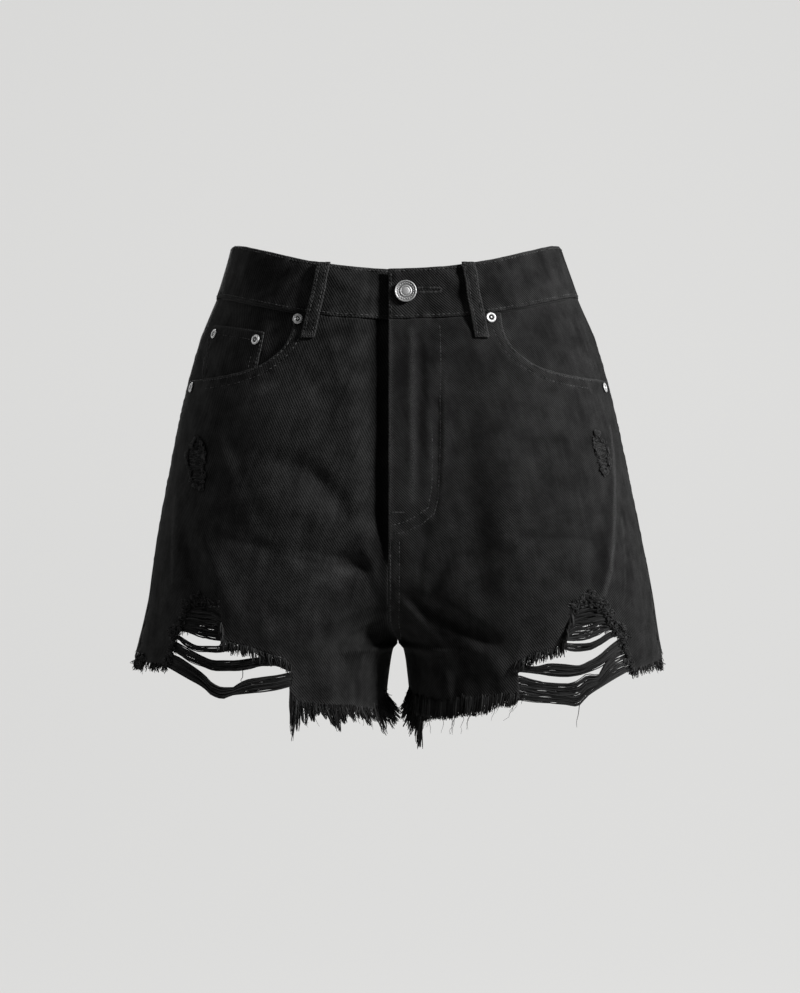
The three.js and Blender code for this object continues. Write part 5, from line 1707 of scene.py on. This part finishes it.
for _side, _half in HEADING.items():
    _front = float(front_u(_half, LOOP["front"], LOOP["level"]))
    make_front(_side)
    make_back(_side)
    make_yoke(_side)
    make_facing(_side)
    _nodes = [f"back_pocket_{_side}"]
    patch(f"patch_pocket_{_side}", _half, BACK_POCKET, flat_back, CLOTH + GAP, CLOTH, _nodes, 12)
    make_loop(f"loop_front_{_side}", _half, _front)
    make_loop(f"loop_back_{_side}", _half, LOOP["back"])
    make_frays(_side)
    make_fringe(_side)
make_loop("loop_centre_back", 1, 4.0)
patch("coin", -1, COIN, flat_front, -CLOTH - GAP, CLOTH - 0.3, ["coin_pocket"], 7)
make_waistband()
buttonhole()
fly_tack()
felled_seams()

turned("jeans_button", "button", BUTTON_PROFILE, 56, 1, *BUTTON, BAND_PROUD + GAP, beads=BEAD_RINGS)
for _name, _half, _x, _z, _lift in RIVETS:
    turned(f"stud_{_name}", f"rivet_{_name}", RIVET_PROFILE, 32, _half, _x, _z, _lift + GAP)

sewn = SEWN.mesh("stitches", STITCHING)
for name, (obj, nodes) in PIECES.items():
    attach(obj, "root")
    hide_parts(*nodes)
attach(sewn, "root")


# Studio: a pale floor that curves up behind, a pale surround that only the camera sees, a light from the
# viewer's right and weak ones all round.
def studio():
    depth, height = 1.3, 5.0
    floor_z, wall_y, bend = -1.1, 3.0, 1.2
    profile = [(-depth, floor_z), (wall_y - bend, floor_z)]
    for k in range(1, 13):
        a = k / 12 * math.pi / 2
        profile.append((wall_y - bend + bend * math.sin(a), floor_z + bend - bend * math.cos(a)))
    profile.append((wall_y, floor_z + height))
    points = [(x * 1000, y * 1000, z * 1000) for y, z in profile for x in (-7, 7)]
    quads = np.array([(2 * i, 2 * i + 1, 2 * i + 3, 2 * i + 2) for i in range(len(profile) - 1)])
    pale = plain("backdrop", 0.15)
    glow = pale.node_tree.nodes["Principled BSDF"].inputs
    glow["Emission Color"].default_value = (1, 0.998, 0.985, 1)
    glow["Emission Strength"].default_value = 0.6
    backdrop = mesh_from("backdrop", points, [quads], pale)
    around = np.linspace(0, 2 * math.pi, 49)
    rings = [(9.0, floor_z - 0.02), (9.0, 4.0), (5.5, 8.0), (0.01, 9.5)]
    points = [(0, 0, (floor_z - 0.02) * 1000)]
    for r, z in rings:
        points += [(r * math.cos(a) * 1000, r * math.sin(a) * 1000, z * 1000) for a in around[:-1]]
    n = len(around) - 1
    quads = [(1 + k * n + i, 1 + k * n + (i + 1) % n, 1 + (k + 1) * n + (i + 1) % n, 1 + (k + 1) * n + i)
             for k in range(len(rings) - 1) for i in range(n)]
    fan = [(0, 1 + (i + 1) % n, 1 + i) for i in range(n)]
    surround = mesh_from("surround", points, [np.array(quads), np.array(fan)], pale)
    for rays in ("diffuse", "glossy", "transmission", "volume_scatter", "shadow"):
        setattr(surround, f"visible_{rays}", False)
    world = bpy.data.worlds.new("studio")
    bpy.context.scene.world = world
    world.use_nodes = True
    world.node_tree.nodes["Background"].inputs["Color"].default_value = (0.97, 0.985, 1, 1)
    world.node_tree.nodes["Background"].inputs["Strength"].default_value = 0.04
    for name, place, aim, size, power in (
        ("key", (1.9, -1.1, 0.95), (0.02, 0, -0.2), 0.35, 123),
        ("edge", (2.0, 0.3, 0.2), (0, 0, -0.2), 0.7, 12),
        ("rim", (-2.0, 0.15, 0.6), (0, 0, -0.2), 1.2, 12),
        ("top", (-0.3, -1.3, 2.0), (0, 0, -0.2), 0.8, 7),
        ("back", (-0.5, 2.3, 1.3), (0, 0, -0.2), 0.5, 20),
    ):
        light = bpy.data.objects.new(name, bpy.data.lights.new(name, "AREA"))
        light.data.size = size
        light.data.energy = power
        light.location = place
        light.visible_camera = False
        light.data.spread = 1.2 if name == "back" else math.pi
        light.rotation_euler = (Vector(aim) - Vector(place)).to_track_quat("-Z", "Y").to_euler()
        bpy.context.scene.collection.objects.link(light)
    camera = bpy.data.objects.new("camera", bpy.data.cameras.new("camera"))
    camera.location = (0.0016, -1.4, -0.2042)
    camera.rotation_euler = (math.pi / 2, 0, 0)
    camera.data.lens = 62
    camera.data.sensor_width = 36
    bpy.context.scene.collection.objects.link(camera)
    bpy.context.scene.camera = camera
    bpy.context.scene.view_settings.view_transform = "Standard"


studio()
